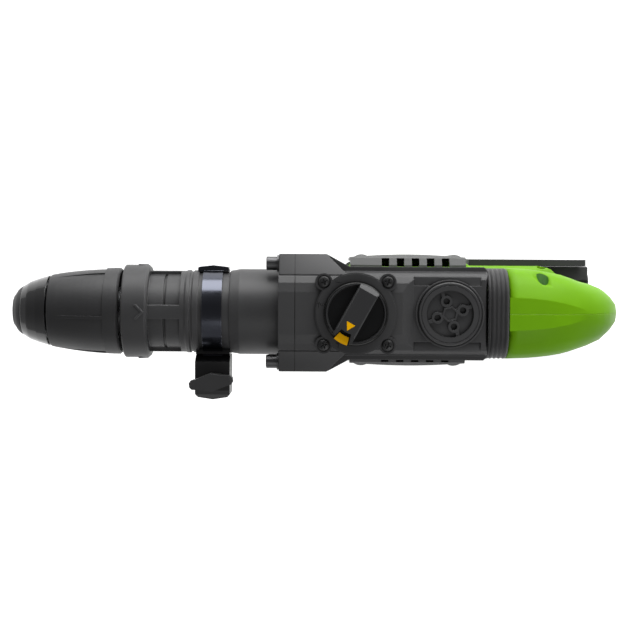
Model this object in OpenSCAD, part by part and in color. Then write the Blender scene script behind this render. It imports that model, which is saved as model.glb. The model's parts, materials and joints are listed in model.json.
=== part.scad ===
// Cordless rotary hammer with a slotted-shank tool holder, an upright motor and
// a sprung D-handle. Millimetres, +X forward along the spindle, +Z up, the tool's
// left side at +Y. The origin is on the spindle axis at the spindle's nose face.

/* [Tool holder] */
// Diameter of the slotted tool shank
shank_d = 18; // [14:0.5:19]
// Clearance of the tool bore on the shank's diameter
shank_clearance = 0.2; // [0.1:0.05:0.4]
// Depth of the tool bore
shank_depth = 90; // [84:1:94]
// How far the dust cap stands in front of the spindle's nose
cap_overhang = 3.5; // [3:0.5:5]
// Length of the rubber dust cap
dust_cap_len = 6.6; // [6:0.2:8]
// Length of the hard nose cone behind it
nose_cone_len = 19.6; // [18:0.2:22]
// Radius of the dust cap at its mouth
cap_mouth_r = 11.6; // [11:0.2:12.6]
// Radius where the dust cap meets the nose cone
cap_back_r = 18; // [17.6:0.2:18.6]
// Radius of the nose cone's knee, where its slope eases
cone_knee_r = 21.4; // [20.8:0.2:22]
// Radius at the back of the nose cone
cone_back_r = 26.2; // [25:0.2:27]
// Length of the sliding chuck sleeve
sleeve_len = 53; // [50:0.5:56]
// Radius at the front of the chuck sleeve
sleeve_front_r = 26.8; // [26.2:0.2:28]
// Radius at the back of the chuck sleeve
sleeve_back_r = 32.2; // [31:0.2:33]
// Wall of the chuck sleeve
sleeve_wall = 2.6; // [2:0.2:3.4]
// Number of shallow finger panels round the sleeve
sleeve_panels = 5; // [4:1:8]
// Depth of each finger panel at its back end
panel_depth = 0.8; // [0.4:0.1:1.2]
// Travel of the sleeve when it's pulled back
sleeve_travel = 8; // [5:0.5:9]
// Radius of the two lock rollers
roller_r = 3.5; // [3:0.1:4]
// Length of the two lock rollers
roller_len = 20; // [14:1:22]
// Outer radius of the spindle's tube
spindle_r = 18.5; // [18.2:0.1:19.5]
// Outer radius of the spindle's nose
spindle_nose_r = 15.5; // [14.5:0.1:16]
// Radius of the hammer cylinder's bore
cylinder_r = 16; // [15:0.1:16.3]

/* [Front housing] */
// Length of the guard ring round the sleeve's back end
guard_len = 18.9; // [16:0.1:22]
// Radius of the guard ring
guard_r = 34.6; // [34.4:0.2:37]
// Length of the ribbed cage
cage_len = 26.7; // [24:0.5:30]
// Radius over the cage's ribs
cage_r = 30.3; // [29.8:0.1:31]
// Width of the cage's four ribs
cage_rib_w = 10; // [8:0.5:12]
// Length of the stepped grooves behind the cage
groove_len = 10; // [8:0.5:12]
// Length of the seat for the side handle's clamp
seat_len = 23; // [22:0.5:26]
// Radius of that seat
seat_r = 29.5; // [29:0.1:30]
// Length of the plain barrel
barrel_len = 36; // [30:1:42]
// Radius of the plain barrel
barrel_r = 31.8; // [31.2:0.1:33]
// Thickness of the front housing's flange
flange_t = 12; // [10:0.5:14]
// Inner radius of the front housing
front_bore_r = 23.5; // [22:0.5:24]
// Outer radius of the spindle's two bearings
bearing_r = 25; // [24.2:0.1:25.5]
// Width of the spindle's two bearings
bearing_w = 12; // [9:0.5:12]

/* [Gear housing] */
// Length of the gear housing behind the parting line
gear_len = 139.5; // [138:0.5:146]
// Half of the width across the bolt ears
ear_half_w = 43; // [42:0.5:46]
// Half of the width behind the ears
gear_half_w = 34; // [33:0.5:36]
// Height of the side ledges over the spindle axis
ledge_z = 28; // [26:0.5:29]
// Height of the housing's top over the spindle axis
top_z = 40; // [39:0.5:43]
// Depth of the front of the housing under the spindle axis
front_depth = 44; // [42:0.5:46]
// Depth of the joint with the motor under the spindle axis
joint_depth = 60; // [60:0.5:64]
// Wall of the cast housings
cast_wall = 3; // [2.5:0.1:3.5]
// Radius of the boss under the mode selector
selector_boss_r = 29.5; // [28.5:0.5:30.5]
// Radius of the mode selector's knob
knob_r = 22.4; // [21:0.2:23]
// Travel of the lock button towards the knob's axis
button_travel = 2; // [1:0.25:2.5]
// Height of the knob's grip bar
knob_bar_h = 11; // [8:0.5:14]
// Width of the knob's grip bar
knob_bar_w = 16; // [13:0.5:18]
// Angle of the knob's pointer from straight ahead
knob_angle = 61; // [55:1:65]
// Radius of the crank chamber's cap
crank_cap_r = 23; // [21.5:0.5:23.5]

/* [Gears and crank] */
// Module of the spur gears
spur_module = 1; // [0.95:0.05:1.05]
// Teeth of the motor's pinion
motor_teeth = 10; // [10:1:11]
// Teeth of the two wheels that the pinion drives
wheel_teeth = 45; // [44:1:45]
// Face width of the spur wheels
wheel_face = 9; // [7:0.5:10]
// Module of the bevel gears at their outer ends
bevel_module = 1.8; // [1.7:0.05:1.85]
// Teeth of the bevel pinion
bevel_pinion_teeth = 12; // [12:1:12]
// Teeth of the ring gear on the spindle
ring_teeth = 30; // [30:1:30]
// Face width of the bevel gears
bevel_face = 7; // [5:0.5:8]
// Throw of the crank
crank_throw = 12; // [10:0.5:12.5]
// Length of the connecting rod between its pins
rod_len = 84; // [82:0.5:86]

/* [Motor housing] */
// Length of the motor housing from front to back
motor_len = 96; // [92:1:100]
// Half of the motor housing's width
motor_half_w = 40; // [38:0.5:42]
// Wall of the moulded housings
mould_wall = 3; // [2.4:0.1:3.4]
// Outer radius of the motor's stator
stator_r = 30; // [28:0.5:31]
// Inner radius of the motor's stator
stator_bore_r = 19; // [18:0.5:20]
// Length of the stator's stack
stator_len = 58; // [50:1:62]
// Number of vent slots in each bumper
vent_slots = 5; // [4:1:6]
// Depth of the tool's base under the spindle axis
base_depth = 240; // [236:1:250]
// Height of the rubber-faced base
base_h = 14; // [12:1:18]

/* [Handle] */
// Length of the bellows at rest
bellows_len = 15.2; // [13:0.2:17]
// Half of the bellows' width
bellows_half_w = 32.2; // [30:0.2:33]
// Length of the handle from the bellows to the back of the grip
handle_len = 94; // [90:1:98]
// Half of the handle's width at its front end
handle_half_w = 33.5; // [32:0.5:34]
// Half of the grip's width
grip_half_w = 19; // [17:0.5:20]
// Wall of the handle's two shells
handle_wall = 3; // [2.4:0.1:3.2]
// Radius of the handle's pivot pin
pivot_r = 4; // [3:0.25:4.5]
// Travel of the trigger
trigger_travel = 6; // [4:0.5:6]
// Half of the trigger's width
trigger_half_w = 8; // [6.5:0.25:8.5]

/* [Battery] */
// Half of the battery foot's width
foot_half_w = 36.6; // [35.5:0.2:38]
// Length of the battery
battery_len = 105; // [103:1:110]
// Height of the battery under its foot
battery_h = 56; // [52:1:60]
// Half of the battery's width
battery_half_w = 36.5; // [36.5:0.5:38]
// Wall of the battery's case
battery_wall = 2.5; // [2:0.1:2.8]
// Radius of one battery cell
cell_r = 9.2; // [8.9:0.1:9.3]
// Length of one battery cell
cell_len = 65; // [60:1:65]
// Travel of each battery latch
latch_travel = 3; // [2:0.25:3]

/* [Side handle clamp] */
// Width of the steel clamp band
band_w = 14.5; // [13:0.5:16]
// Thickness of the steel clamp band
band_t = 2; // [1.5:0.1:2.2]
// Length of the clamp's block along the barrel
block_len = 25.6; // [24:0.2:28]
// How far the clamp's block reaches from the spindle axis
block_reach = 65; // [63:0.5:70]
// Radius of the bore for the depth gauge
gauge_r = 3.1; // [2.6:0.1:3.3]
// Radius of the side handle's tapping hole
grip_thread_r = 4.25; // [3.3:0.05:4.6]
// Depth of the side handle's tapping hole
grip_thread_len = 18; // [14:1:18]
// Length of the wing knob
wing_len = 32; // [26:1:36]

/* [Hidden] */

$fn = 64;

// Clearances
sliding = 0.2;       // between parts that slide past each other
running = 0.05;      // radial, of a shaft in its bush
seated = 0.02;       // radial, of a part pressed or moulded onto its seat
face_gap = 0.3;      // between parts that don't touch
mesh_gap = 0.14;     // thinning of each gear tooth
pressure_angle = 20;

// Stations along the spindle, from the front to the back
cap_front_x = cap_overhang;
cone_front_x = cap_front_x - dust_cap_len;
cone_back_x = cone_front_x - nose_cone_len;
sleeve_x = cone_back_x - 1.3;
sleeve_end_x = sleeve_x - sleeve_len;
guard_x = sleeve_end_x - 2.4;
cage_x = guard_x - guard_len;
groove_x = cage_x - cage_len;
seat_x = groove_x - groove_len;
barrel_x = seat_x - seat_len;
flange_x = barrel_x - barrel_len;
parting_x = flange_x - flange_t;
gear_end_x = parting_x - gear_len;
handle_x = gear_end_x - bellows_len - 2 * face_gap;
handle_tip_x = handle_x - handle_len;

// Tool bore and its locking parts
shank_r = (shank_d + shank_clearance) / 2;
roller_x = sleeve_x - 14;
shoulder_x = sleeve_x - 34;
lock_ring_r = 21;
nose_bevel = 2.8;
lock_ring_bore = shank_r + 2 * roller_r + sliding;
roller_drop = 2.2;
anvil_travel = 4;
anvil_x = -shank_depth - anvil_travel - 1;
guide_end_x = anvil_x - 20;
bearing_front_x = cage_x - 6;

// Shafts
spur_addendum = 0.8 * spur_module;
wheel_r = wheel_teeth * spur_module / 2;
pinion_r = motor_teeth * spur_module / 2;
shaft_step = wheel_r + pinion_r;
crank_x = gear_end_x + wheel_r + spur_addendum + cast_wall + 1.2;
motor_x = crank_x + shaft_step;
bevel_x = motor_x + shaft_step;
bevel_ring_r = bevel_module * ring_teeth / 2;
bevel_pinion_r = bevel_module * bevel_pinion_teeth / 2;
cone_distance = norm([bevel_ring_r, bevel_pinion_r]);
pinion_cone = atan2(bevel_pinion_r, bevel_ring_r);
ring_cone = 90 - pinion_cone;
ring_gear_front_x = bevel_x + bevel_pinion_r + 7;
spindle_end_x = bevel_x + bevel_pinion_r - 4;
wheel_top_z = -joint_depth + 4 + wheel_face + 2;
bulkhead_z = wheel_top_z + 1;
bulkhead_t = 9;
crank_pin_x = crank_x - crank_throw;
piston_pin_x = crank_pin_x + rod_len;
crank_journal_r = 8;
crank_pin_r = 5;
bevel_journal_r = 5;
crank_bearing_r = 15;
bevel_bearing_r = 10;
piston_front_x = piston_pin_x + 20;
piston_back_x = piston_pin_x - 10;
anvil_end_x = guide_end_x - anvil_travel - 21;
striker_x = anvil_end_x - 4.5;
striker_len = 30;

// Heights of the motor and the base
base_z = -base_depth;
base_top_z = base_z + base_h;
joint_z = -joint_depth;
plate_t = 6;
motor_top_z = joint_z - plate_t;
stator_top_z = motor_top_z - 27;
stator_end_z = stator_top_z - stator_len;
motor_front_x = gear_end_x + motor_len - 2;
motor_back_x = gear_end_x - 2;
rotor_shaft_r = 4;
rotor_bearing_r = 11;
rotor_bearing_h = 7;
rotor_bottom_z = stator_end_z - 21;
board_z = base_top_z + 8;

// Handle, foot and battery
foot_front_x = motor_back_x;
foot_back_x = foot_front_x - 81;
foot_h = 38;
foot_z = base_z + battery_h;
foot_top_z = foot_z + foot_h;
rail_top_z = foot_z + 17;
pivot_x = foot_front_x - 67;
pivot_z = foot_top_z - 9;
handle_foot_z = foot_top_z + 1;
lug_half_w = 12;
battery_x = motor_back_x - 11;
battery_end_x = battery_x - battery_len;
rail_neck_half_w = 26.5;
rail_head_half_w = 30.5;
bellows_top_z = top_z - 2;
bellows_bottom_z = -18;
switch_x = handle_tip_x + 34;
switch_z = -73;
switch_half_w = 7.5;
trigger_front_x = switch_x + 21;
split_y = 0.04;      // half of the gap between the handle's two shells

// Side handle clamp
band_r = seat_r + sliding;
clamp_x = seat_x - band_w / 2 - 3;
block_bottom_z = -15;
block_top_z = 18;
block_y = barrel_r + 0.6;
wing_y = block_reach - 14;
gauge_z = 9;
wing_screw_r = 3;
insert_y = block_reach - grip_thread_len - 0.7;
tab_y = insert_y - 1.5;

// Bolt and screw places
bolt_y = 36;
bolt_zs = [20, -34];
bolt_r = 3;
bolt_head_r = 5;
bolt_head_h = 8;
knob_x = parting_x - 44;
selector_screw_x = 23;
selector_screw_y = 22.75;
plate_top_z = top_z + 3;
button_in_r = 17.6;
button_half_angle = 13;
knob_z = plate_top_z + face_gap;

screw_places = [
  [motor_back_x + 12, -28], [motor_back_x + 12, 28], [motor_front_x - 14, -26], [motor_front_x - 14, 26]
];

charcoal = "#3a3a3c";
black = "#1c1c1e";
green = "#72b01e";
steel = "#9a9ca0";
dark_steel = "#33363c";
yellow = "#f0b400";

// ---- Shape helpers -------------------------------------------------------

module rotate_extrude_at(x) {
  translate([x, 0, 0]) rotate_extrude() children();
}

module rotate_about(x, a) {
  translate([x, 0, 0]) rotate([0, 0, a]) children();
}

// Places of the flange's bolts, the selector's screws and the base's screws
module at_bolts() {
  for (y = [-bolt_y, bolt_y], z = bolt_zs) translate([0, y, z]) children();
}

module at_selector_screws(z = 0) {
  for (x = [-1, 1], y = [-1, 1])
    translate([knob_x + selector_screw_x * x, selector_screw_y * y, z]) children();
}

module at_base_screws(z = 0) {
  for (p = screw_places) translate([p[0], p[1], z]) children();
}

// The selector knob's own frame, turned to its pointer
module at_knob() {
  translate([knob_x, 0, knob_z]) rotate([0, 0, knob_angle]) children();
}

// A solid of revolution about the spindle axis, from [x, radius] points
module turned_x(points) {
  rotate([0, 90, 0]) rotate_extrude() polygon([for (p = points) [p[1], p[0]]]);
}

// A bar along X whose front face is at x
module bar_x(x, len, r) {
  translate([x - len, 0, 0]) rotate([0, 90, 0]) cylinder(r = r, h = len);
}

// A tube along X whose front face is at x
module tube_x(x, len, r_out, r_in) {
  turned_x([[x, r_in], [x, r_out], [x - len, r_out], [x - len, r_in]]);
}

// An upright bar that starts at height z
module bar_z(x, z, h, r) {
  translate([x, 0, z]) cylinder(r = r, h = h);
}

// An upright tube that starts at height z
module tube_z(x, z, h, r_out, r_in) {
  translate([x, 0, z]) difference() {
    cylinder(r = r_out, h = h);
    translate([0, 0, -1]) cylinder(r = r_in, h = h + 2);
  }
}

// A bar along Y that starts at [x, y, z]
module bar_y(start, len, r) {
  translate(start) rotate([-90, 0, 0]) cylinder(r = r, h = len);
}

// A block between two opposite corners
module block(low, high) {
  translate(low) cube(high - low);
}

// The same with Y mirrored on the side -1
module side_block(side, low, high) {
  block([low[0], min(side * low[1], side * high[1]), low[2]],
    [high[0], max(side * low[1], side * high[1]), high[2]]);
}

// A shape drawn in X and Z, extruded to both sides of the middle plane
module side_profile(half_w, points) {
  rotate([90, 0, 0]) linear_extrude(height = 2 * half_w, center = true) polygon(points);
}

// A shape drawn in Y and Z, extruded from x_back to x_front
module cross_profile(x_back, x_front, points) {
  translate([x_back, 0, 0]) rotate([90, 0, 90]) linear_extrude(height = x_front - x_back)
    polygon(points);
}

// A shape drawn in X and Y, extruded from z_low to z_high
module plan_profile(z_low, z_high, points) {
  translate([0, 0, z_low]) linear_extrude(height = z_high - z_low) polygon(points);
}

// Corner points of a rectangle with round corners
function round_box(x_low, x_high, y_low, y_high, r, steps = 5) = [
  for (corner = [
    [x_high - r, y_high - r, 0], [x_low + r, y_high - r, 90], [x_low + r, y_low + r, 180],
    [x_high - r, y_low + r, 270]
  ])
    for (i = [0 : steps])
      let (a = corner[2] + 90 * i / steps)
        [corner[0] + r * cos(a), corner[1] + r * sin(a)]
];

// The same points mirrored to the other side of the Y axis, as one outline
function mirrored(points) = concat(
  points,
  [for (i = [len(points) - 1 : -1 : 0]) [-points[i][0], points[i][1]]]
);

// The same mirrored across the X axis
function both_sides(points) = concat(
  points,
  [for (i = [len(points) - 1 : -1 : 0]) [points[i][0], -points[i][1]]]
);

// A compression spring along X as one swept wire
module spring_x(x_front, len, coil_r, wire_r, turns, sides = 6, steps = 14) {
  count = turns * steps;
  rings = [
    for (i = [0 : count])
      let (a = 360 * i / steps, x = x_front - wire_r - (len - 2 * wire_r) * i / count)
        [for (k = [0 : sides - 1])
          let (b = -360 * k / sides, r = coil_r + wire_r * cos(b))
            [x + wire_r * sin(b), r * cos(a), r * sin(a)]]
  ];
  swept(rings);
}

// A closed skin over rings of equal point counts
module swept(rings) {
  n = len(rings[0]);
  last = len(rings) - 1;
  points = [for (ring = rings) for (p = ring) p];
  walls = [
    for (i = [0 : last - 1]) for (k = [0 : n - 1])
      let (j = (k + 1) % n)
        each [[i * n + k, (i + 1) * n + k, (i + 1) * n + j], [i * n + k, (i + 1) * n + j, i * n + j]]
  ];
  start_cap = [[for (k = [0 : n - 1]) k]];
  end_cap = [[for (k = [n - 1 : -1 : 0]) last * n + k]];
  polyhedron(points = points, faces = concat(walls, start_cap, end_cap), convexity = 6);
}

// ---- Gear teeth ----------------------------------------------------------

// Involute of an angle, in degrees
function involute(a) = tan(a) * 180 / PI - a;

// Half of a tooth's thickness at radius r, for a gear with pitch radius pr
function half_tooth(r, pr, teeth) =
  let (base_r = pr * cos(pressure_angle))
  let (a = r > base_r ? acos(base_r / r) : 0)
  let (half_angle = 90 / teeth + involute(pressure_angle) - involute(a))
    r * half_angle * PI / 180 - mesh_gap / 2;

// Outline of a spur gear with involute teeth
function spur_outline(teeth, m, turn = 0) =
  let (pr = teeth * m / 2, add = 0.8 * m, ded = 1.1 * m)
  let (radii = [pr - ded, pr - 0.45 * m, pr, pr + 0.45 * m, pr + add])
    [for (t = [0 : teeth - 1])
      let (a0 = turn + 360 * t / teeth)
        each concat(
          [for (r = radii) tooth_point(r, pr, teeth, a0, -1)],
          [for (i = [len(radii) - 1 : -1 : 0]) tooth_point(radii[i], pr, teeth, a0, 1)]
        )];

// One point of a tooth's flank
function tooth_point(r, pr, teeth, a0, side) =
  let (a = a0 + side * half_tooth(r, pr, teeth) / r * 180 / PI)
    [r * cos(a), r * sin(a)];

module spur_wheel(x, z, h, teeth, bore_r, turn = 0) {
  translate([x, 0, z]) difference() {
    linear_extrude(height = h) polygon(spur_outline(teeth, spur_module, turn));
    translate([0, 0, -1]) cylinder(r = bore_r, h = h + 2);
  }
}

// One bevel tooth below an apex at the origin, narrowing towards the apex
module bevel_tooth(cone_angle, teeth) {
  pr = cone_distance * tan(cone_angle);
  virtual_teeth = teeth / cos(cone_angle);
  heights = [-1.1, -0.4, 0, 0.4, 0.8] * bevel_module;
  widths = [for (v = heights) half_tooth(pr + v, pr, virtual_teeth)];
  top = len(heights) - 1;
  profile = concat(
    [for (i = [0 : top]) [-widths[i], heights[i]]],
    [for (i = [top : -1 : 0]) [widths[i], heights[i]]]
  );
  inner = 1 - bevel_face / cone_distance;
  swept([
    for (s = [1, inner])
      [for (p = profile)
        s * [
          cone_distance * sin(cone_angle) + p[1] * cos(cone_angle),
          p[0],
          -cone_distance * cos(cone_angle) + p[1] * sin(cone_angle)
        ]]
  ]);
}

// The solid cone under the teeth of a bevel gear
module bevel_body(cone_angle, back) {
  sink = 1.05 * bevel_module;
  outer_r = cone_distance * sin(cone_angle) - sink * cos(cone_angle);
  outer_z = -cone_distance * cos(cone_angle) - sink * sin(cone_angle);
  inner = 1 - bevel_face / cone_distance;
  rotate_extrude() polygon([
    [0, outer_z - back], [outer_r, outer_z - back], [outer_r, outer_z],
    [outer_r * inner, outer_z * inner], [0, outer_z * inner]
  ]);
}

// ---- Tool holder ---------------------------------------------------------

module dust_cap() {
  lip_r = shank_r + 0.4;
  color(charcoal) turned_x([
    [cap_front_x, lip_r + 0.6], [cap_front_x, cap_mouth_r - 0.7], [cap_front_x - 0.7, cap_mouth_r + 0.3],
    [cap_front_x - 0.4 * dust_cap_len, cap_mouth_r + 0.56 * (cap_back_r - cap_mouth_r)],
    [cone_front_x, cap_back_r], [cone_front_x, spindle_nose_r + seated],
    [-nose_bevel, spindle_nose_r + seated], [face_gap, spindle_nose_r - nose_bevel], [face_gap, lip_r],
    [cap_front_x - 1, lip_r]
  ]);
}

module nose_cone() {
  front_x = cone_front_x - 0.1;
  knee_x = front_x - 0.25 * nose_cone_len;
  hollow_x = cone_front_x - 5;
  cone_wall = 3;
  color(black) turned_x([
    [front_x, spindle_nose_r + seated], [front_x, cap_back_r], [front_x - 0.5, cap_back_r + 0.6],
    [knee_x, cone_knee_r], [knee_x - 0.9, cone_knee_r + 0.4],
    [(knee_x + cone_back_x) / 2, cone_knee_r + 0.56 * (cone_back_r - cone_knee_r)],
    [cone_back_x, cone_back_r], [cone_back_x, cone_back_r - cone_wall],
    [hollow_x, cap_back_r - cone_wall + 2], [hollow_x, spindle_nose_r + seated]
  ]);
}

function sleeve_radius(t) = sleeve_front_r + (sleeve_back_r - sleeve_front_r) * (1 - pow(1 - t, 1.9));

module chuck_sleeve() {
  web_x = roller_x + roller_len / 2 + 2;
  panel_x = sleeve_x - 2;
  panel_len = 0.75 * sleeve_len;
  land_angle = 2;
  color(charcoal) difference() {
    turned_x(concat(
      [[sleeve_x, sleeve_front_r - sleeve_wall], [sleeve_x, sleeve_front_r - 0.8]],
      [for (i = [0 : 12]) [sleeve_x - 0.8 - (sleeve_len - 2.4) * i / 12, sleeve_radius(i / 12)]],
      [
        [sleeve_end_x, sleeve_back_r - 1.4], [sleeve_end_x, sleeve_back_r - sleeve_wall],
        [shoulder_x, sleeve_back_r - sleeve_wall - 1.4], [shoulder_x + 4, lock_ring_r + seated],
        [web_x, lock_ring_r + seated], [web_x, sleeve_front_r - sleeve_wall]
      ]
    ));
    // Shallow finger panels that deepen towards the back, with narrow lands between
    intersection() {
      turned_x(concat(
        [[panel_x, guard_r]],
        [for (i = [0 : 8])
          let (back = panel_len * i / 8)
            [panel_x - back, sleeve_radius((1.2 + back) / sleeve_len) + 0.15 - (panel_depth + 0.15) * i / 8]],
        [[panel_x - panel_len, guard_r]]
      ));
      for (i = [0 : sleeve_panels - 1])
        let (a = 180 / sleeve_panels - land_angle)
          rotate([(i + 0.5) * 360 / sleeve_panels - 8, 0, 0]) cross_profile(sleeve_end_x, sleeve_x,
            [[0, 0], [2 * guard_r * sin(a), 2 * guard_r * cos(a)],
              [-2 * guard_r * sin(a), 2 * guard_r * cos(a)]]);
    }
  }
}

module lock_ring() {
  front_x = roller_x + roller_len / 2 + 2;
  color(steel) tube_x(front_x, roller_len + 4, lock_ring_r, lock_ring_bore);
}

module sleeve_spring() {
  front_x = roller_x - roller_len / 2 - 2 - face_gap;
  back_x = shoulder_x - 12;
  color(steel) spring_x(front_x, front_x - back_x, spindle_r + 1.6, 0.9, 4);
}

module lock_roller(side) {
  color(steel) translate([0, side * (shank_r + roller_r), 0])
    bar_x(roller_x + roller_len / 2, roller_len, roller_r);
}

module lock_roller_left() lock_roller(1);
module lock_roller_right() lock_roller(-1);

module spindle() {
  slot_half = roller_r + sliding;
  guide_r = shank_r + 1;
  // The spring's seat is a collar on the spindle
  collar_x = shoulder_x - 12 - face_gap;
  color(steel) difference() {
    union() {
      turned_x([
        [0, shank_r], [-shank_depth, shank_r], [-shank_depth, guide_r], [guide_end_x, guide_r],
        [guide_end_x, cylinder_r], [spindle_end_x, cylinder_r], [spindle_end_x, spindle_r],
        [shoulder_x, spindle_r], [shoulder_x, spindle_nose_r], [-nose_bevel, spindle_nose_r],
        [0, spindle_nose_r - nose_bevel]
      ]);
      tube_x(collar_x, 2.5, spindle_r + 3.4, spindle_r - 1);
    }
    // Slots that hold the two lock rollers
    for (side = [-1, 1])
      side_block(side, [roller_x - roller_len / 2 - sliding, shank_r - 1, -slot_half],
        [roller_x + roller_len / 2 + sliding, spindle_r + 1, slot_half]);
  }
}

module ring_gear() {
  color(steel) difference() {
    union() {
      translate([bevel_x, 0, 0]) rotate([0, -90, 0]) {
        bevel_body(ring_cone, 3);
        for (i = [0 : ring_teeth - 1])
          rotate([0, 0, 360 * (i + 0.5) / ring_teeth]) bevel_tooth(ring_cone, ring_teeth);
      }
      bar_x(ring_gear_front_x, 6, spindle_r + 5);
    }
    bar_x(ring_gear_front_x + 1, 2 * bevel_ring_r, spindle_r + seated);
  }
}

module impact_bolt() {
  nose_r = shank_r + 1 - running;
  head_r = cylinder_r - running;
  cone_x = guide_end_x - anvil_travel - 0.5;
  color(dark_steel) turned_x([
    [anvil_x, 0], [anvil_x, nose_r - 1], [anvil_x - 1, nose_r], [cone_x, nose_r], [cone_x - 5, head_r],
    [cone_x - 12.5, head_r], [cone_x - 12.5, 9], [anvil_end_x, 9], [anvil_end_x, 0]
  ]);
}

module striker() {
  r = cylinder_r - running;
  groove = 1.5;
  color(dark_steel) turned_x([
    [striker_x + 2, 0], [striker_x + 2, 8], [striker_x, 9], [striker_x, r - 1], [striker_x - 1, r],
    [striker_x - 18, r], [striker_x - 18, r - groove], [striker_x - 21, r - groove], [striker_x - 21, r],
    [striker_x - striker_len, r], [striker_x - striker_len, 0]
  ]);
}

module spindle_bearings() {
  color(steel) for (x = [bearing_front_x, parting_x + bearing_w]) difference() {
    tube_x(x, bearing_w, bearing_r - seated, spindle_r + seated);
    for (face = [x + 0.1, x - bearing_w + 0.8])
      tube_x(face, 0.9, bearing_r - 2, spindle_r + 2.2);
  }
}

module spindle_seal() {
  color(black) turned_x([
    [bearing_front_x + 7.5, spindle_r + 4.5], [bearing_front_x + 7.5, bearing_r - seated],
    [bearing_front_x + 0.5, bearing_r - seated], [bearing_front_x + 0.5, spindle_r + 2],
    [bearing_front_x + 3, spindle_r + 2], [bearing_front_x + 4, spindle_r + running],
    [bearing_front_x + 5, spindle_r + 2]
  ]);
}

// ---- Front housing -------------------------------------------------------

// Cross-section of the cast housings: a round top between two lower ledges
house_top_half = gear_half_w - 3.5;
function house_section(half_w, depth) = mirrored([
  [0, top_z], [house_top_half * 0.5, top_z], [house_top_half * 0.72, top_z - 1.7],
  [house_top_half * 0.87, top_z - 4.7], [house_top_half * 0.96, top_z - 8.5], [house_top_half, ledge_z],
  [half_w - 1.5, ledge_z], [half_w, ledge_z - 1.5], [half_w, -depth + 4], [half_w - 4, -depth],
  [0, -depth]
]);

// The cage's pockets between its four ribs, with a groove round their floor
module cage_pockets() {
  floor_r = cage_r - 2.6;
  pocket_x = cage_x + 0.01;
  pocket_len = cage_len - 3.4;
  difference() {
    union() {
      tube_x(pocket_x, pocket_len, guard_r, floor_r);
      tube_x(cage_x - 11, 2, guard_r, floor_r - 1);
    }
    for (a = [0, 90]) rotate([a, 0, 0])
      block([cage_x - cage_len, -cage_rib_w / 2, -guard_r - 1],
        [cage_x + 1, cage_rib_w / 2, guard_r + 1]);
  }
}

module front_housing() {
  sleeve_room = sleeve_back_r + 0.5;
  pocket_end_x = guard_x - sleeve_travel - 2;
  color(charcoal) difference() {
    union() {
      turned_x([
        [guard_x, sleeve_room], [guard_x, guard_r - 0.8], [guard_x - 0.8, guard_r],
        [cage_x + 1.6, guard_r], [cage_x, guard_r - 1.6], [cage_x, cage_r], [groove_x, cage_r],
        [groove_x - 1, cage_r + 0.6], [groove_x - 3.4, cage_r + 0.6], [groove_x - 3.8, cage_r - 0.4],
        [groove_x - 5.4, cage_r - 0.4], [groove_x - 5.8, cage_r + 0.4], [seat_x, cage_r + 0.4],
        [seat_x, seat_r], [barrel_x, seat_r], [barrel_x, barrel_r - 1.2], [barrel_x - 7, barrel_r],
        [parting_x + 1, barrel_r], [parting_x + 1, front_bore_r], [seat_x, front_bore_r],
        [bearing_front_x - bearing_w, front_bore_r], [bearing_front_x - bearing_w, bearing_r],
        [pocket_end_x - 2, bearing_r], [pocket_end_x - 2, bearing_r - 1.5],
        [pocket_end_x, bearing_r - 1.5], [pocket_end_x, sleeve_room]
      ]);
      intersection() {
        cross_profile(parting_x, flange_x, house_section(ear_half_w, front_depth));
        plan_profile(-base_depth, 2 * top_z, [
          [flange_x, ear_half_w - 2], [flange_x - 2, ear_half_w], [parting_x, ear_half_w],
          [parting_x, -ear_half_w], [flange_x - 2, -ear_half_w], [flange_x, -ear_half_w + 2]
        ]);
      }
      guard_bumps();
    }
    cage_pockets();
    bar_x(flange_x + 4, flange_t + 5, front_bore_r);
    bar_x(parting_x + bearing_w, bearing_w + 1, bearing_r);
    at_bolts() bar_x(flange_x + 1, flange_t + 2, bolt_r + 0.3);
  }
}

// Small peaked grip marks where the ribs meet the guard ring
module guard_bumps() {
  for (a = [0, 90, 180, 270])
    rotate([a, 0, 0]) translate([0, 0, guard_r - 1]) linear_extrude(height = 1.5) polygon([
      [cage_x + 9, -5], [cage_x + 4, 0], [cage_x + 9, 5], [cage_x + 7.6, 5.6], [cage_x + 2, 0],
      [cage_x + 7.6, -5.6]
    ]);
}

// Four socket cap screws with their washers
module housing_bolts() {
  washer_t = 1.2;
  shank_len = flange_t + 12;
  color(dark_steel) at_bolts() difference() {
    union() {
      bar_x(flange_x + washer_t + 0.01, washer_t, bolt_head_r + 1.2);
      turned_x([
        [flange_x + washer_t + bolt_head_h, 0], [flange_x + washer_t + bolt_head_h, bolt_head_r - 0.6],
        [flange_x + washer_t + bolt_head_h - 0.6, bolt_head_r], [flange_x + washer_t, bolt_head_r],
        [flange_x + washer_t, bolt_r], [flange_x - shank_len, bolt_r], [flange_x - shank_len, 0]
      ]);
    }
    translate([flange_x + washer_t + bolt_head_h - 4, 0, 0]) rotate([0, 90, 0])
      cylinder(r = 2.9, h = 5, $fn = 6);
  }
}

// ---- Side handle clamp ---------------------------------------------------

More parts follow.
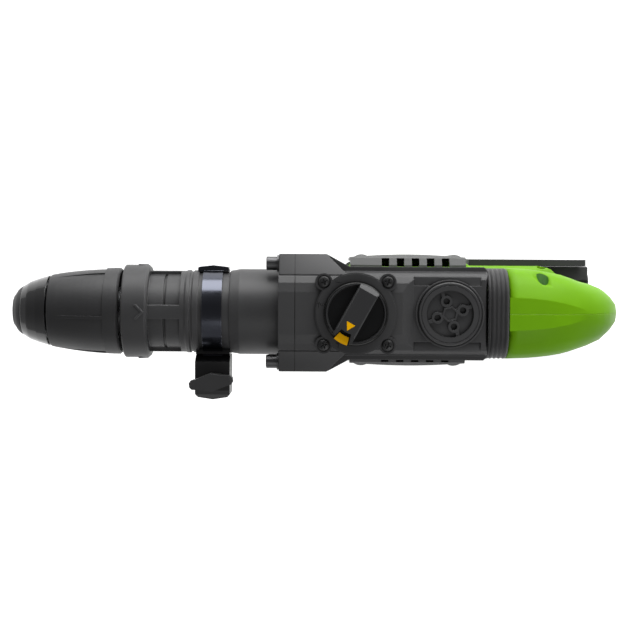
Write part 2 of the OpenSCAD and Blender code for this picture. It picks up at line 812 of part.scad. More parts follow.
module clamp_band() {
  tab_z = 8;
  color(dark_steel) difference() {
    union() {
      difference() {
        tube_x(clamp_x + band_w / 2, band_w, band_r + band_t, band_r);
        block([clamp_x - band_w, 0, -tab_z], [clamp_x + band_w, band_r + 9, tab_z]);
      }
      // Two tabs that reach into the block
      for (side = [-1, 1]) block(
        [clamp_x - band_w / 2, sqrt(pow(band_r, 2) - pow(tab_z, 2)), side > 0 ? tab_z : -tab_z - band_t],
        [clamp_x + band_w / 2, tab_y, side > 0 ? tab_z + band_t : -tab_z]
      );
      // Peaked bridge plate brazed to the band's far side
      intersection() {
        plan_profile(-9, 9, [
          [clamp_x + 11.5, -band_r + 2], [clamp_x + 11.5, -band_r - band_t - 0.8],
          [clamp_x + 10.5, -band_r - band_t - 1.6], [clamp_x, -band_r - band_t - 2.8],
          [clamp_x - 10.5, -band_r - band_t - 1.6], [clamp_x - 11.5, -band_r - band_t - 0.8],
          [clamp_x - 11.5, -band_r + 2]
        ]);
        difference() {
          block([clamp_x - 12, -band_r - 9, -9], [clamp_x + 12, 0, 9]);
          bar_x(clamp_x + 13, 26, band_r + band_t - seated);
        }
      }
    }
    bar_x(clamp_x + band_w, 2 * band_w, band_r);
  }
}

module clamp_block() {
  slot = band_t + 2 * sliding;
  tab_z = 8 - sliding;
  half_len = block_len / 2;
  color(black) difference() {
    intersection() {
      plan_profile(block_bottom_z, block_top_z, [
        [clamp_x - half_len, block_y], [clamp_x + half_len, block_y],
        [clamp_x + half_len, block_reach - 4], [clamp_x + half_len - 2, block_reach - 1.8],
        [clamp_x, block_reach], [clamp_x - half_len + 2, block_reach - 1.8],
        [clamp_x - half_len, block_reach - 4]
      ]);
      cross_profile(clamp_x - half_len, clamp_x + half_len, [
        [block_y, block_bottom_z + 2], [block_y + 2, block_bottom_z], [block_reach - 5, block_bottom_z],
        [block_reach, block_bottom_z + 6], [block_reach, block_top_z - 6],
        [block_reach - 4, block_top_z - 2], [wing_y + 7, block_top_z], [block_y + 4.5, block_top_z],
        [block_y, block_top_z - 8]
      ]);
    }
    for (side = [-1, 1]) block(
      [clamp_x - band_w / 2 - sliding, block_y - 1, side > 0 ? tab_z : -tab_z - slot],
      [clamp_x + band_w / 2 + sliding, tab_y + sliding, side > 0 ? tab_z + slot : -tab_z]
    );
    translate([0, wing_y, gauge_z]) bar_x(clamp_x + half_len + 1, block_len + 2, gauge_r);
    translate([clamp_x, wing_y, gauge_z + gauge_r - 1])
      cylinder(r = wing_screw_r + running, h = block_top_z);
    bar_y([clamp_x, insert_y - face_gap, -4], grip_thread_len + 3, 8.05, $fn = 6);
  }
}

// Hexagonal steel insert that the side handle screws into
module grip_insert() {
  color(steel) translate([clamp_x, insert_y, -4]) rotate([-90, 0, 0]) difference() {
    cylinder(r = 8, h = grip_thread_len, $fn = 6);
    translate([0, 0, -1]) cylinder(r = grip_thread_r, h = grip_thread_len + 2);
  }
}

module wing_screw() {
  hub_r = 6.6;
  wing_h = 13;
  base = block_top_z + face_gap;
  wing_half = wing_len / 2;
  color(charcoal) translate([clamp_x, wing_y, 0]) {
    translate([0, 0, base]) cylinder(r = 4.4, h = 3);
    translate([0, 0, base + 2.9]) rotate([0, 0, 8]) intersection() {
      linear_extrude(height = wing_h) polygon([
        [-wing_half, -1.5], [-wing_half + 1.5, -3.3], [-wing_half + 5, -3.8], [0, -hub_r],
        [wing_half - 5, -3.8], [wing_half - 1.5, -3.3], [wing_half, -1.5], [wing_half, 1.5],
        [wing_half - 1.5, 3.3], [wing_half - 5, 3.8], [0, hub_r], [-wing_half + 5, 3.8],
        [-wing_half + 1.5, 3.3], [-wing_half, 1.5]
      ]);
      side_profile(hub_r + 1, [
        [-wing_half, 4], [-7, 0], [7, 0], [wing_half, 4], [wing_half, wing_h - 1.5],
        [wing_half - 2, wing_h], [-wing_half + 2, wing_h], [-wing_half, wing_h - 1.5]
      ]);
    }
    translate([0, 0, gauge_z + gauge_r + 0.2]) cylinder(r = wing_screw_r, h = base - gauge_z - gauge_r);
  }
}

// ---- Gear housing --------------------------------------------------------

ear_end_x = parting_x - 23;
ear_taper = 16.5;

function housing_plan(inset) = both_sides([
  [parting_x, ear_half_w - inset], [ear_end_x, ear_half_w - inset],
  [ear_end_x - ear_taper, gear_half_w - inset], [gear_end_x + 2 + inset, gear_half_w - inset],
  [gear_end_x + inset, gear_half_w - 2 - inset]
]);

// The outer body before the cavities and the sculpted top are cut
module gear_housing_body() {
  intersection() {
    cross_profile(gear_end_x, parting_x, house_section(ear_half_w, joint_depth));
    plan_profile(-base_depth, 2 * top_z, housing_plan(0));
    side_profile(ear_half_w + 1, [
      [parting_x, -front_depth], [parting_x, top_z], [knob_x - 34, top_z], [knob_x - 42, top_z - 3.4],
      [gear_end_x + 1.5, top_z - 3.4], [gear_end_x, top_z - 6], [gear_end_x, joint_z],
      [motor_front_x + 3, joint_z], [motor_front_x + 18, -front_depth]
    ]);
  }
}

// Round boss and screw posts under the mode selector
module selector_boss(z_low, z_high, grow) {
  bar_z(knob_x, z_low, z_high - z_low, selector_boss_r + grow);
  at_selector_screws(z_low) cylinder(r = 6.2 + grow, h = z_high - z_low);
}

module gear_housing() {
  chamber_half = house_top_half - cast_wall;
  crank_boss_z = top_z - 1;
  wheel_room = wheel_r + spur_addendum + 1;
  color(charcoal) difference() {
    union() {
      gear_housing_body();
      selector_boss(0, top_z, 0);
      bar_z(crank_x, 0, crank_boss_z, crank_cap_r + 1.8);
      // Round barrel root that carries the front housing's shape over the joint
      intersection() {
        bar_x(parting_x, 20, top_z);
        block([parting_x - 20, -house_top_half, 0], [parting_x, house_top_half, top_z]);
      }
    }
    // Upper chamber, for the spindle's end, the connecting rod and the crank
    block([gear_end_x + cast_wall, -chamber_half, bulkhead_z + bulkhead_t],
       [parting_x + 1, chamber_half, ledge_z - 4]);
    bar_x(parting_x + 1, parting_x - bevel_x - 1, bevel_ring_r + 3);
    // Lower chamber for the three spur wheels, open to the motor
    for (x = [crank_x, bevel_x]) bar_z(x, joint_z - 1, bulkhead_z + joint_depth + 1, wheel_room);
    bar_z(motor_x, joint_z - 1, bulkhead_z + joint_depth + 1, pinion_r + 8);
    // Bearing seats in the bulkhead
    bar_z(crank_x, bulkhead_z - 1, bulkhead_t + 2, crank_bearing_r);
    bar_z(bevel_x, bulkhead_z - 1, bulkhead_t + 2, bevel_bearing_r);
    // Openings for the selector's spindle and the crank chamber's cap
    bar_z(knob_x, 0, top_z + 1, 8 + running);
    bar_z(crank_x, 0, top_z + 1, crank_cap_r - 4);
    bar_z(crank_x, crank_boss_z - 4, 10, crank_cap_r + running);
    at_selector_screws(top_z - 12) cylinder(r = 2.05, h = 20);
    at_bolts() bar_x(parting_x + 1, 13, bolt_r + running);
    shelf_pockets();
  }
}

// Lowered shelves beside the crank chamber's boss
module shelf_pockets() {
  floor_z = top_z - 7;
  half_w = house_top_half - 3.6;
  difference() {
    block([gear_end_x + 5, -half_w, floor_z], [knob_x - 42, half_w, top_z + 1]);
    bar_z(crank_x, 0, top_z, crank_cap_r + 1.8);
    block([gear_end_x + 4, -half_w + 6.4, 0], [knob_x - 41, half_w - 6.4, top_z + 2]);
  }
}

module selector_plate() {
  color(charcoal) difference() {
    union() {
      bar_z(knob_x, top_z, 2.4, selector_boss_r);
      bar_z(knob_x, top_z + 2.3, 0.7, selector_boss_r - 0.8);
      at_selector_screws(top_z) cylinder(r = 6.2, h = 2.4);
    }
    bar_z(knob_x, top_z - 1, 9, 8 + running);
    at_selector_screws(top_z - 1) cylinder(r = 2.2, h = 9);
    // Scalloped seats round the four screw heads
    at_selector_screws(top_z + 1.6) cylinder(r = 4.8, h = 9);
  }
}

module selector_screws() {
  head_z = top_z + 1.6;
  color(black) for (x = [-1, 1], y = [-1, 1])
    translate([knob_x + selector_screw_x * x, selector_screw_y * y, 0]) difference() {
      union() {
        rotate_extrude() polygon([[0, head_z], [4.1, head_z], [4.1, head_z + 1.2],
             [3.4, head_z + 2.2], [1.6, head_z + 2.7], [0, head_z + 2.7]]);
        translate([0, 0, top_z - 9]) cylinder(r = 2, h = head_z - top_z + 9.1);
      }
      for (a = [0, 90])
        rotate([0, 0, a + 20 * x]) block([-2.5, -0.5, head_z + 1.2], [2.5, 0.5, head_z + 4]);
    }
}

module selector_knob() {
  disc_h = 4;
  rim_w = 1.8;
  // The button's inner corners swing out as it goes in
  pocket_half_angle = atan2(
    button_in_r * sin(button_half_angle), button_in_r * cos(button_half_angle) - button_travel) + 0.8;
  color(black) at_knob() difference() {
    union() {
      rotate_extrude() polygon([
        [0, 0], [knob_r, 0], [knob_r, disc_h + 0.4], [knob_r - 0.6, disc_h + 1.2],
        [knob_r - rim_w, disc_h + 1.2], [knob_r - rim_w - 0.8, disc_h - 1.6], [0, disc_h - 1.6]
      ]);
      intersection() {
        cylinder(r = knob_r - 0.7, h = knob_bar_h + disc_h);
        side_profile(knob_bar_w / 2, [
          [-knob_r, 1], [-knob_r, disc_h + 2], [-knob_r + 4.6, knob_bar_h], [knob_r - 7, knob_bar_h],
          [knob_r - 1.5, disc_h + 2.6], [knob_r, disc_h], [knob_r, 1]
        ]);
        cross_profile(-knob_r, knob_r, mirrored([
          [0, knob_bar_h], [knob_bar_w / 2 - 1.4, knob_bar_h], [knob_bar_w / 2 - 0.5, knob_bar_h - 1],
          [knob_bar_w / 2, 0], [0, 0]
        ]));
      }
      // Stem down into the housing with its shifting pin
      translate([0, 0, -9]) cylinder(r = 8, h = 10);
      translate([5, 0, -12]) cylinder(r = 1.8, h = 4);
    }
    // Pocket for the lock button
    button_sector(button_in_r - button_travel - 0.7, knob_r + 3, pocket_half_angle, -1, disc_h + 8);
    // Recess for the pointer
    translate([9.6, 0, knob_bar_h - 0.8]) cylinder(r = 4 + sliding, h = 2, $fn = 3);
  }
}

// A ring sector about the knob's axis, centred on its pointer
module button_sector(r_in, r_out, half_angle, z_low, z_high) {
  arc = [for (i = [0 : 6]) -half_angle + 2 * half_angle * i / 6];
  translate([0, 0, z_low]) linear_extrude(height = z_high - z_low) polygon(concat(
    [for (a = arc) r_out * [cos(a), sin(a)]],
    [for (i = [6 : -1 : 0]) r_in * [cos(arc[i]), sin(arc[i])]]
  ));
}

module selector_pointer() {
  color(yellow) at_knob() translate([9.6, 0, knob_bar_h - 0.8 + seated])
    cylinder(r = 4, h = 0.9, $fn = 3);
}

module selector_button() {
  color(yellow) at_knob() intersection() {
    button_sector(button_in_r, knob_r + 1.2, button_half_angle, 0.3, 6.4);
    side_profile(knob_bar_w, [
      [15, 0.3], [15, 6.4], [knob_r - 1, 6.4], [knob_r + 1.2, 5], [knob_r + 1.2, 0.3]
    ]);
  }
}

module crank_cap() {
  seat_z = top_z - 5;
  recess_r = 16.7;
  rim_z = top_z + 1.4;
  floor_z = rim_z - 3;
  boss_r = 4.2;
  circle_r = 9.5;
  turn = 16.5;
  color(charcoal) difference() {
    union() {
      difference() {
        rotate_extrude_at(crank_x) polygon([
          [0, seat_z], [crank_cap_r, seat_z], [crank_cap_r, rim_z - 1], [crank_cap_r - 0.8, rim_z],
          [recess_r, rim_z], [recess_r, floor_z], [0, floor_z]
        ]);
        rotate_extrude_at(crank_x)
          polygon([[crank_cap_r - 2.6, rim_z - 0.5], [crank_cap_r - 2, rim_z - 0.5],
               [crank_cap_r - 2, rim_z + 1], [crank_cap_r - 2.6, rim_z + 1]]);
      }
      for (k = [0 : 3])
        translate([crank_x, 0, floor_z - 0.5]) rotate([0, 0, turn + 90 * k]) {
          translate([circle_r, 0, 0]) cylinder(r = boss_r, h = 2.6);
          // Curved arm that ties the boss to the rim
          translate([circle_r, -0.2, 0]) cube([recess_r - circle_r + 0.5, 2.6, 2.4]);
          translate([0, -2.6, 0]) cube([circle_r, 5.2, 2]);
        }
      translate([crank_x, 0, floor_z - 0.5]) rotate([0, 0, turn]) cylinder(r = 6, h = 2.6, $fn = 6);
      // Spigot with the seal's groove
      tube_z(crank_x, seat_z - 8, 8.2, crank_cap_r - 4 - sliding, crank_cap_r - 8);
    }
    for (k = [0 : 3]) rotate_about(crank_x, turn + 90 * k)
      translate([circle_r, 0, floor_z - 1]) cylinder(r = 2.4, h = 8);
    translate([crank_x, 0, floor_z + 0.9]) rotate([0, 0, turn]) cylinder(r = 4.6, h = 3, $fn = 6);
    rotate_extrude_at(crank_x)
      polygon([[crank_cap_r - 5.6, seat_z - 5.4], [crank_cap_r - 3, seat_z - 5.4],
           [crank_cap_r - 3, seat_z - 3], [crank_cap_r - 5.6, seat_z - 3]]);
  }
}

module crank_cap_seal() {
  color(black) rotate_extrude_at(crank_x) translate([crank_cap_r - 4.8, top_z - 9.2]) circle(r = 0.78);
}

// ---- Hammer mechanism ----------------------------------------------------

module piston() {
  r = cylinder_r - running;
  eye = 9;
  color(steel) difference() {
    turned_x([
      [piston_front_x, 0], [piston_front_x, r - 1], [piston_front_x - 1, r], [piston_front_x - 4, r],
      [piston_front_x - 4, r - 1.5], [piston_front_x - 7, r - 1.5], [piston_front_x - 7, r],
      [piston_back_x, r], [piston_back_x, 0]
    ]);
    block([piston_back_x - 1, -r - 1, -eye - face_gap], [piston_pin_x + 11, r + 1, eye + face_gap]);
    translate([piston_pin_x, 0, -r - 1]) cylinder(r = 4 + seated, h = 2 * r + 2);
  }
}

module piston_pin() {
  color(steel) translate([piston_pin_x, 0, -cylinder_r + 1.5]) cylinder(r = 4, h = 2 * cylinder_r - 3);
}

module connecting_rod() {
  half_h = 5;
  big_r = crank_pin_r + 5;
  small_r = 8;
  color(steel) difference() {
    union() {
      bar_z(crank_pin_x, -half_h, 2 * half_h, big_r);
      bar_z(piston_pin_x, -half_h, 2 * half_h, small_r);
      difference() {
        plan_profile(-half_h + 1, half_h - 1, [
          [crank_pin_x, big_r - 2], [piston_pin_x, small_r - 3], [piston_pin_x, -small_r + 3],
          [crank_pin_x, -big_r + 2]
        ]);
        // Lightened web, as on a forged rod
        for (z = [1.4, -half_h]) plan_profile(z, z + half_h - 1.4, [
          [crank_pin_x + big_r + 2, big_r - 5], [piston_pin_x - small_r - 2, small_r - 5.4],
          [piston_pin_x - small_r - 2, -small_r + 5.4], [crank_pin_x + big_r + 2, -big_r + 5]
        ]);
      }
    }
    bar_z(crank_pin_x, -half_h - 1, 2 * half_h + 2, crank_pin_r + running);
    bar_z(piston_pin_x, -half_h - 1, 2 * half_h + 2, 4 + running);
  }
}

module crankshaft() {
  web_z = bulkhead_z + bulkhead_t + 0.5;
  web_top_z = -5 - face_gap;
  color(steel) union() {
    bar_z(crank_x, joint_z - plate_t + 1, web_z - joint_z + plate_t, crank_journal_r);
    intersection() {
      bar_z(crank_x, web_z, web_top_z - web_z, crank_throw + crank_pin_r + 2);
      block([crank_x - 40, -15, web_z], [crank_x + 17, 15, web_top_z]);
    }
    bar_z(crank_pin_x, web_top_z - 1, 5 + 4 + 1 + face_gap, crank_pin_r);
  }
}

module crank_gear() {
  color(steel) spur_wheel(crank_x, wheel_top_z - wheel_face, wheel_face, wheel_teeth,
        crank_journal_r + running, 180 / wheel_teeth);
}

module bevel_shaft() {
  gear_back = 3;
  color(steel) union() {
    translate([bevel_x, 0, 0]) {
      bevel_body(pinion_cone, gear_back);
      for (i = [0 : bevel_pinion_teeth - 1])
        rotate([0, 0, 360 * i / bevel_pinion_teeth]) bevel_tooth(pinion_cone, bevel_pinion_teeth);
    }
    bar_z(bevel_x, joint_z - plate_t + 1, joint_depth + plate_t - 1 - bevel_ring_r, bevel_journal_r);
  }
}

module bevel_shaft_gear() {
  color(steel)
    spur_wheel(bevel_x, wheel_top_z - wheel_face, wheel_face, wheel_teeth, bevel_journal_r + seated);
}

module shaft_bearings() {
  color(steel) {
    tube_z(crank_x, bulkhead_z, bulkhead_t, crank_bearing_r - seated, crank_journal_r + seated);
    tube_z(bevel_x, bulkhead_z, bulkhead_t, bevel_bearing_r - seated, bevel_journal_r + seated);
  }
}

// ---- Motor ---------------------------------------------------------------

module rotor() {
  core_r = stator_bore_r - 0.6;
  slots = 8;
  color(steel) union() {
    bar_z(motor_x, rotor_bottom_z + 0.5, motor_top_z - rotor_bottom_z + 4, rotor_shaft_r);
    translate([motor_x, 0, motor_top_z + 4]) linear_extrude(height = wheel_top_z - motor_top_z - 4)
      polygon(spur_outline(motor_teeth, spur_module));
    difference() {
      bar_z(motor_x, stator_end_z, stator_len, core_r);
      for (k = [0 : slots - 1]) rotate_about(motor_x, 360 * k / slots)
        block([core_r - 3, -1.2, stator_end_z - 1], [core_r + 1, 1.2, stator_end_z + stator_len + 1]);
    }
  }
}

module fan() {
  z = stator_top_z + 12;
  blades = 9;
  color(black) difference() {
    union() {
      bar_z(motor_x, z, 2, stator_r - 5);
      bar_z(motor_x, z - 4, 9, rotor_shaft_r + 3);
      for (k = [0 : blades - 1])
        rotate_about(motor_x, 360 * k / blades) translate([rotor_shaft_r + 4, 0, z - 5])
          rotate([0, 0, 24]) cube([stator_r - rotor_shaft_r - 12, 1.4, 6]);
    }
    bar_z(motor_x, z - 6, 20, rotor_shaft_r + seated);
  }
}

module rotor_bearings() {
  color(steel) for (z = [motor_top_z - rotor_bearing_h - 1, rotor_bottom_z])
    tube_z(motor_x, z, rotor_bearing_h, rotor_bearing_r - seated, rotor_shaft_r + seated);
}

module stator() {
  slots = 6;
  color(dark_steel) difference() {
    tube_z(motor_x, stator_end_z, stator_len, stator_r, stator_bore_r);
    for (k = [0 : slots - 1]) rotate_about(motor_x, 360 * (k + 0.5) / slots)
      block([stator_bore_r - 1, -5, stator_end_z - 1], [stator_r - 4, 5, stator_end_z + stator_len + 1]);
  }
}

// Wound coils that stand out of both ends of the stator
module windings() {
  inner = stator_bore_r + 1.5;
  outer = stator_r - 2;
  color("#b06a34") for (z = [stator_top_z, stator_end_z - 6]) rotate_extrude_at(motor_x)
    polygon([[inner, z], [outer, z], [outer, z + 4], [outer - 2, z + 6], [inner + 2, z + 6],
      [inner, z + 4]]);
}

module motor_end_plate() {
  inset = 1;
  boss_z = motor_top_z - rotor_bearing_h - 1;
  color(steel) difference() {
    union() {
      plan_profile(motor_top_z, joint_z, round_box(
        motor_back_x + inset, motor_front_x - inset, -gear_half_w + inset, gear_half_w - inset, 8));
      bar_z(motor_x, boss_z, rotor_bearing_h + 2, rotor_bearing_r + 3);
    }
    bar_z(motor_x, boss_z - 1, rotor_bearing_h + 1, rotor_bearing_r);
    bar_z(motor_x, motor_top_z - 2, plate_t + 4, pinion_r + 3);
    bar_z(crank_x, motor_top_z + 0.5, plate_t + 1, crank_journal_r + running);
    bar_z(bevel_x, motor_top_z + 0.5, plate_t + 1, bevel_journal_r + running);
  }
}

// Side outline of the motor housing, drawn in by an inset
function motor_side(inset) = [
  [motor_front_x - inset, motor_top_z + (inset > 0 ? 1 : 0)],
  [motor_front_x - 1.5 - inset, motor_top_z - 34], [motor_front_x - 5 - inset, stator_end_z - 14],
  [motor_front_x - 3 - inset, base_top_z + 26],
  [motor_front_x + 4 - inset, base_top_z - (inset > 0 ? 1 : 0)],
  [motor_back_x + inset, base_top_z - (inset > 0 ? 1 : 0)],
  [motor_back_x + inset, motor_top_z + (inset > 0 ? 1 : 0)]
];

module motor_shell(inset) {
  intersection() {
    side_profile(motor_half_w + 10, motor_side(inset));
    plan_profile(base_z, 0, round_box(
      motor_back_x + inset, motor_front_x + 6 - inset, -motor_half_w + inset, motor_half_w - inset,
        14 - inset));
    cross_profile(motor_back_x - 1, motor_front_x + 9, mirrored([
      [0, motor_top_z + 1], [gear_half_w - inset, motor_top_z + 1],
      [gear_half_w + 0.8 - inset, motor_top_z - 2],
      [motor_half_w - inset, motor_top_z - 12], [motor_half_w - inset, base_z], [0, base_z]
    ]));
  }
}

module motor_housing() {
  rib_w = 5;
  color(green) difference() {
    union() {
      difference() {
        motor_shell(0);
        motor_shell(mould_wall);
      }
      // Ribs that hold the stator, and the lower bearing's bridge
      intersection() {
        union() {
          for (a = [45, 135, 225, 315])
            rotate_about(motor_x, a) block([stator_r + seated, -rib_w / 2, rotor_bottom_z - 3],
              [2 * motor_half_w, rib_w / 2, motor_top_z - 2]);
          block([motor_back_x, -motor_half_w, rotor_bottom_z - 3],
             [motor_front_x + 10, motor_half_w, rotor_bottom_z + rotor_bearing_h]);
        }
        motor_shell(mould_wall - 0.5);
      }
    }
    bar_z(motor_x, rotor_bottom_z - 4, stator_end_z - rotor_bottom_z + 2, rotor_bearing_r);
    bar_z(motor_x, stator_end_z - 9, motor_top_z - stator_end_z + 20, stator_r);
    motor_vents();
  }
}

// Slots in both sides, in line with the slots of the bumpers
module motor_vents() {
  for (i = [0 : vent_slots - 1])
    block([vent_x(i) - 3, -motor_half_w - 10, vent_low_z],
      [vent_x(i) + 3, motor_half_w + 10, vent_top_z]);
}

vent_pitch = 60 / vent_slots;
vent_top_z = motor_top_z - 2;
vent_low_z = vent_top_z - 26;
bumper_top_z = motor_top_z - 1;
bumper_low_z = vent_low_z - 42;
bumper_half_len = 46;
bumper_mid_x = (motor_front_x + motor_back_x) / 2 + 5;
function vent_x(i) = bumper_mid_x - 6 + vent_pitch * (i - (vent_slots - 1) / 2);

// Vent panel with a thick rounded bumper at each end, for the side 1 or -1
module bumper(side) {
  seat_y = motor_half_w + seated;
  lobe_r = 9;
  color(charcoal) difference() {
    intersection() {
      union() {
        plan_profile(bumper_low_z, bumper_top_z, [
          [bumper_mid_x - bumper_half_len, side * (seat_y - 7)],
          [bumper_mid_x - bumper_half_len, side * seat_y],
          for (i = [0 : 12])
            [bumper_mid_x - bumper_half_len + 2 * bumper_half_len * i / 12,
              side * (seat_y + 2.4 + 2.2 * sin(15 * i))],
          [bumper_mid_x + bumper_half_len, side * seat_y],
          [bumper_mid_x + bumper_half_len, side * (seat_y - 7)]
        ]);
        for (end = [-1, 1])
          translate([bumper_mid_x + end * (bumper_half_len - lobe_r), side * (seat_y - lobe_r + 4.6),
            bumper_low_z])
            cylinder(r = lobe_r, h = bumper_top_z - bumper_low_z);
      }
      cross_profile(motor_back_x - 10, motor_front_x + 10, [
        for (p = [[20, bumper_low_z + 7], [motor_half_w + 0.5, bumper_low_z],
          [motor_half_w + 5, bumper_low_z + 6],
             [motor_half_w + 5, bumper_top_z - 10], [motor_half_w + 1.5, bumper_top_z - 3],
             [gear_half_w + 2, bumper_top_z], [20, bumper_top_z]])
          [side * p[0], p[1]]
      ]);
    }
    bumper_seat(side);
    // Upright slots behind a closed outer rim
    for (i = [0 : vent_slots - 1])
      side_block(side, [vent_x(i) - 3, 20, vent_low_z], [vent_x(i) + 3, seat_y + 1.4, motor_top_z]);
  }
}

// The motor housing's outer face, which the bumper lies on
module bumper_seat(side) {
  cross_profile(motor_back_x - 0.5, motor_front_x + 20, [
    for (p = [[0, motor_top_z + 9], [gear_half_w + seated, motor_top_z + 9],
      [gear_half_w + seated, motor_top_z + 1],
         [gear_half_w + 0.8 + seated, motor_top_z - 2], [motor_half_w + seated, motor_top_z - 12],
         [motor_half_w + seated, base_z], [0, base_z]])
      [side * p[0], p[1]]
  ]);
}

module bumper_left() bumper(1);
module bumper_right() {
  union() {
    bumper(-1);
    guard_tail();
  }
}

// The right bumper's tail, which lies on the foot's side and guards the battery
module guard_tail() {
  thickness = 5.6 - seated;
  root_x = bumper_mid_x - bumper_half_len;
  end_x = battery_end_x + 8.5;
  color(charcoal) difference() {
    translate([0, -foot_half_w - seated - thickness / 2, 0]) side_profile(thickness / 2, [
      [root_x + 14, bumper_low_z + 40], [root_x + 14, bumper_low_z + 6], [motor_back_x - 1, foot_z + 3],
      [end_x + 3, foot_z + 3], [end_x, foot_z + 6], [end_x, foot_z + 16], [end_x + 1, foot_z + 17],
      [motor_back_x - 6, foot_z + 17], [root_x + 1, bumper_low_z + 30], [root_x + 1, bumper_low_z + 40]
    ]);
    bumper_seat(-1);
  }
}

// Rubber-faced base that closes the motor housing and lets the tool stand
module motor_base() {
  color(charcoal) difference() {
    union() {
      intersection() {
        plan_profile(base_z, base_top_z, round_box(
          motor_back_x - 3, motor_front_x + 8, -motor_half_w - 2, motor_half_w + 2, 15));
        cross_profile(motor_back_x - 4, motor_front_x + 9, mirrored([
          [0, base_z], [motor_half_w - 1, base_z], [motor_half_w + 2, base_z + 3],
          [motor_half_w + 2, base_top_z - 2], [motor_half_w, base_top_z], [0, base_top_z]
        ]));
      }
      at_base_screws(base_top_z - 1) cylinder(r = 4.5, h = board_z - base_top_z + 1 - seated);
    }
    at_base_screws(base_z - 1) {
      cylinder(r = 4.2, h = 7);
      cylinder(r = 2.05, h = base_depth - 2);
    }
    // Shallow hollow that leaves a standing rim
    plan_profile(base_z - 1, base_z + 1, round_box(
      motor_back_x + 22, motor_front_x - 24, -motor_half_w + 12, motor_half_w - 12, 8));
    for (x = [motor_back_x + 26 : 8 : motor_front_x - 28])
      block([x, -motor_half_w + 16, base_z], [x + 3, motor_half_w - 16, base_z + 5]);
  }
}

module base_screws() {
  color(dark_steel) at_base_screws(base_z) difference() {
    union() {
      translate([0, 0, 3.2]) cylinder(r = 4, h = 2.8);
      translate([0, 0, 5.9]) cylinder(r = 2, h = board_z - base_z - 4);
    }
    translate([0, 0, 1]) cylinder(r = 1.8, h = 4, $fn = 6);
  }
}

// Motor controller with its finned heat sink, on the base's four posts
module controller_board() {
  color("#1f5a3a") difference() {
    union() {
      block([motor_back_x + 7, -33, board_z], [motor_front_x - 10, 33, board_z + 1.6]);
      block([motor_back_x + 22, -24, board_z + 1.5], [motor_front_x - 26, 24, board_z + 4]);
      for (i = [0 : 7])
        block([motor_back_x + 24 + 6 * i, -22, board_z + 3.9],
          [motor_back_x + 26 + 6 * i, 22, board_z + 14]);
    }
    at_base_screws(board_z - 1) cylinder(r = 2.1, h = 4);
  }
}

// ---- Battery and its foot ------------------------------------------------

// Shelf behind the motor that carries the battery's rails and the handle's pivot
module battery_foot() {
  slot_half = lug_half_w + face_gap;
  color(green) difference() {
    intersection() {
      plan_profile(foot_z, foot_top_z, round_box(
        foot_back_x, foot_front_x + 20, -foot_half_w, foot_half_w, 16));
      side_profile(foot_half_w + 1, [
        [foot_front_x, foot_z], [foot_front_x, foot_top_z + 6], [foot_front_x - 8, foot_top_z],
        [foot_back_x + 3, foot_top_z], [foot_back_x, foot_top_z - 4], [foot_back_x, foot_z]
      ]);
      cross_profile(foot_back_x, foot_front_x, mirrored([
        [0, foot_top_z], [foot_half_w - 10, foot_top_z], [foot_half_w - 3, foot_top_z - 4],
        [foot_half_w, foot_top_z - 11], [foot_half_w, foot_z], [0, foot_z]
      ]));
    }
    // Room for the battery's head, and the narrower way between the rails
    block([foot_back_x - 1, -rail_head_half_w - sliding, foot_z + 6],
       [battery_x - 2, rail_head_half_w + sliding, rail_top_z + sliding]);
    block([foot_back_x - 1, -rail_neck_half_w - sliding, foot_z - 1],
       [battery_x - 2, rail_neck_half_w + sliding, foot_z + 7]);
    // Pocket and bore for the handle's pivot
    block([pivot_x - 11, -slot_half, foot_top_z - 18], [pivot_x + 11, slot_half, foot_top_z + 1]);
    bar_y([pivot_x, -foot_half_w - 1, pivot_z], 2 * foot_half_w + 2, pivot_r + seated);
    block([foot_front_x - 3, -20, foot_top_z - 18], [foot_front_x + 1, 20, foot_top_z - 12]);
  }
}

module battery_head() {
  head_end_x = foot_back_x + 1;
  block([head_end_x, -rail_head_half_w, foot_z + 6 + sliding],
    [battery_x - 3, rail_head_half_w, rail_top_z]);
  block([head_end_x, -rail_neck_half_w, foot_z - 2], [battery_x - 3, rail_neck_half_w, foot_z + 7]);
}

module battery_case() {
  case_top_z = foot_z - sliding;
  step_z = case_top_z - 15;
  upper_half = battery_half_w - 1;
  inner_top_z = case_top_z - 3;
  color(black) difference() {
    union() {
      intersection() {
        plan_profile(base_z, step_z, round_box(
          battery_end_x, battery_x, -battery_half_w, battery_half_w, 11));
        cross_profile(battery_end_x, battery_x, mirrored([
          [0, base_z], [battery_half_w - 4, base_z], [battery_half_w, base_z + 4],
          [battery_half_w, step_z - 1], [battery_half_w - 1, step_z], [0, step_z]
        ]));
      }
      plan_profile(step_z - 1, case_top_z, round_box(
        battery_end_x + 4, battery_x - 1, -upper_half, upper_half, 9));
      battery_head();
    }
    plan_profile(base_z + battery_wall, inner_top_z, round_box(
      battery_end_x + 4 + battery_wall, battery_x - 1 - battery_wall,
      -upper_half + battery_wall, upper_half - battery_wall, 5));
    // Slots for the terminals in the head's front end
    for (y = [-16, -8, 0, 8, 16])
      block([battery_x - 16, y - 1.5, foot_z + 9], [battery_x, y + 1.5, rail_top_z + 1]);
    for (side = [-1, 1]) latch_pocket(side);
    // Grip ribs on the back end
    for (i = [0 : 4])
      block([battery_end_x - 1, -22, step_z - 10 - 5 * i], [battery_end_x + 1.2, 22, step_z - 8 - 5 * i]);
  }
}

latch_x = battery_x - 34;
latch_z = foot_z - 8;
latch_half_len = 11;
latch_half_h = 5;

module latch_pocket(side) {
  near = battery_half_w - 12;
  far = battery_half_w + 2;
  side_block(side, [latch_x - latch_half_len - sliding, near, latch_z - latch_half_h - sliding],
    [latch_x + latch_half_len + sliding, far, latch_z + latch_half_h + sliding]);
}

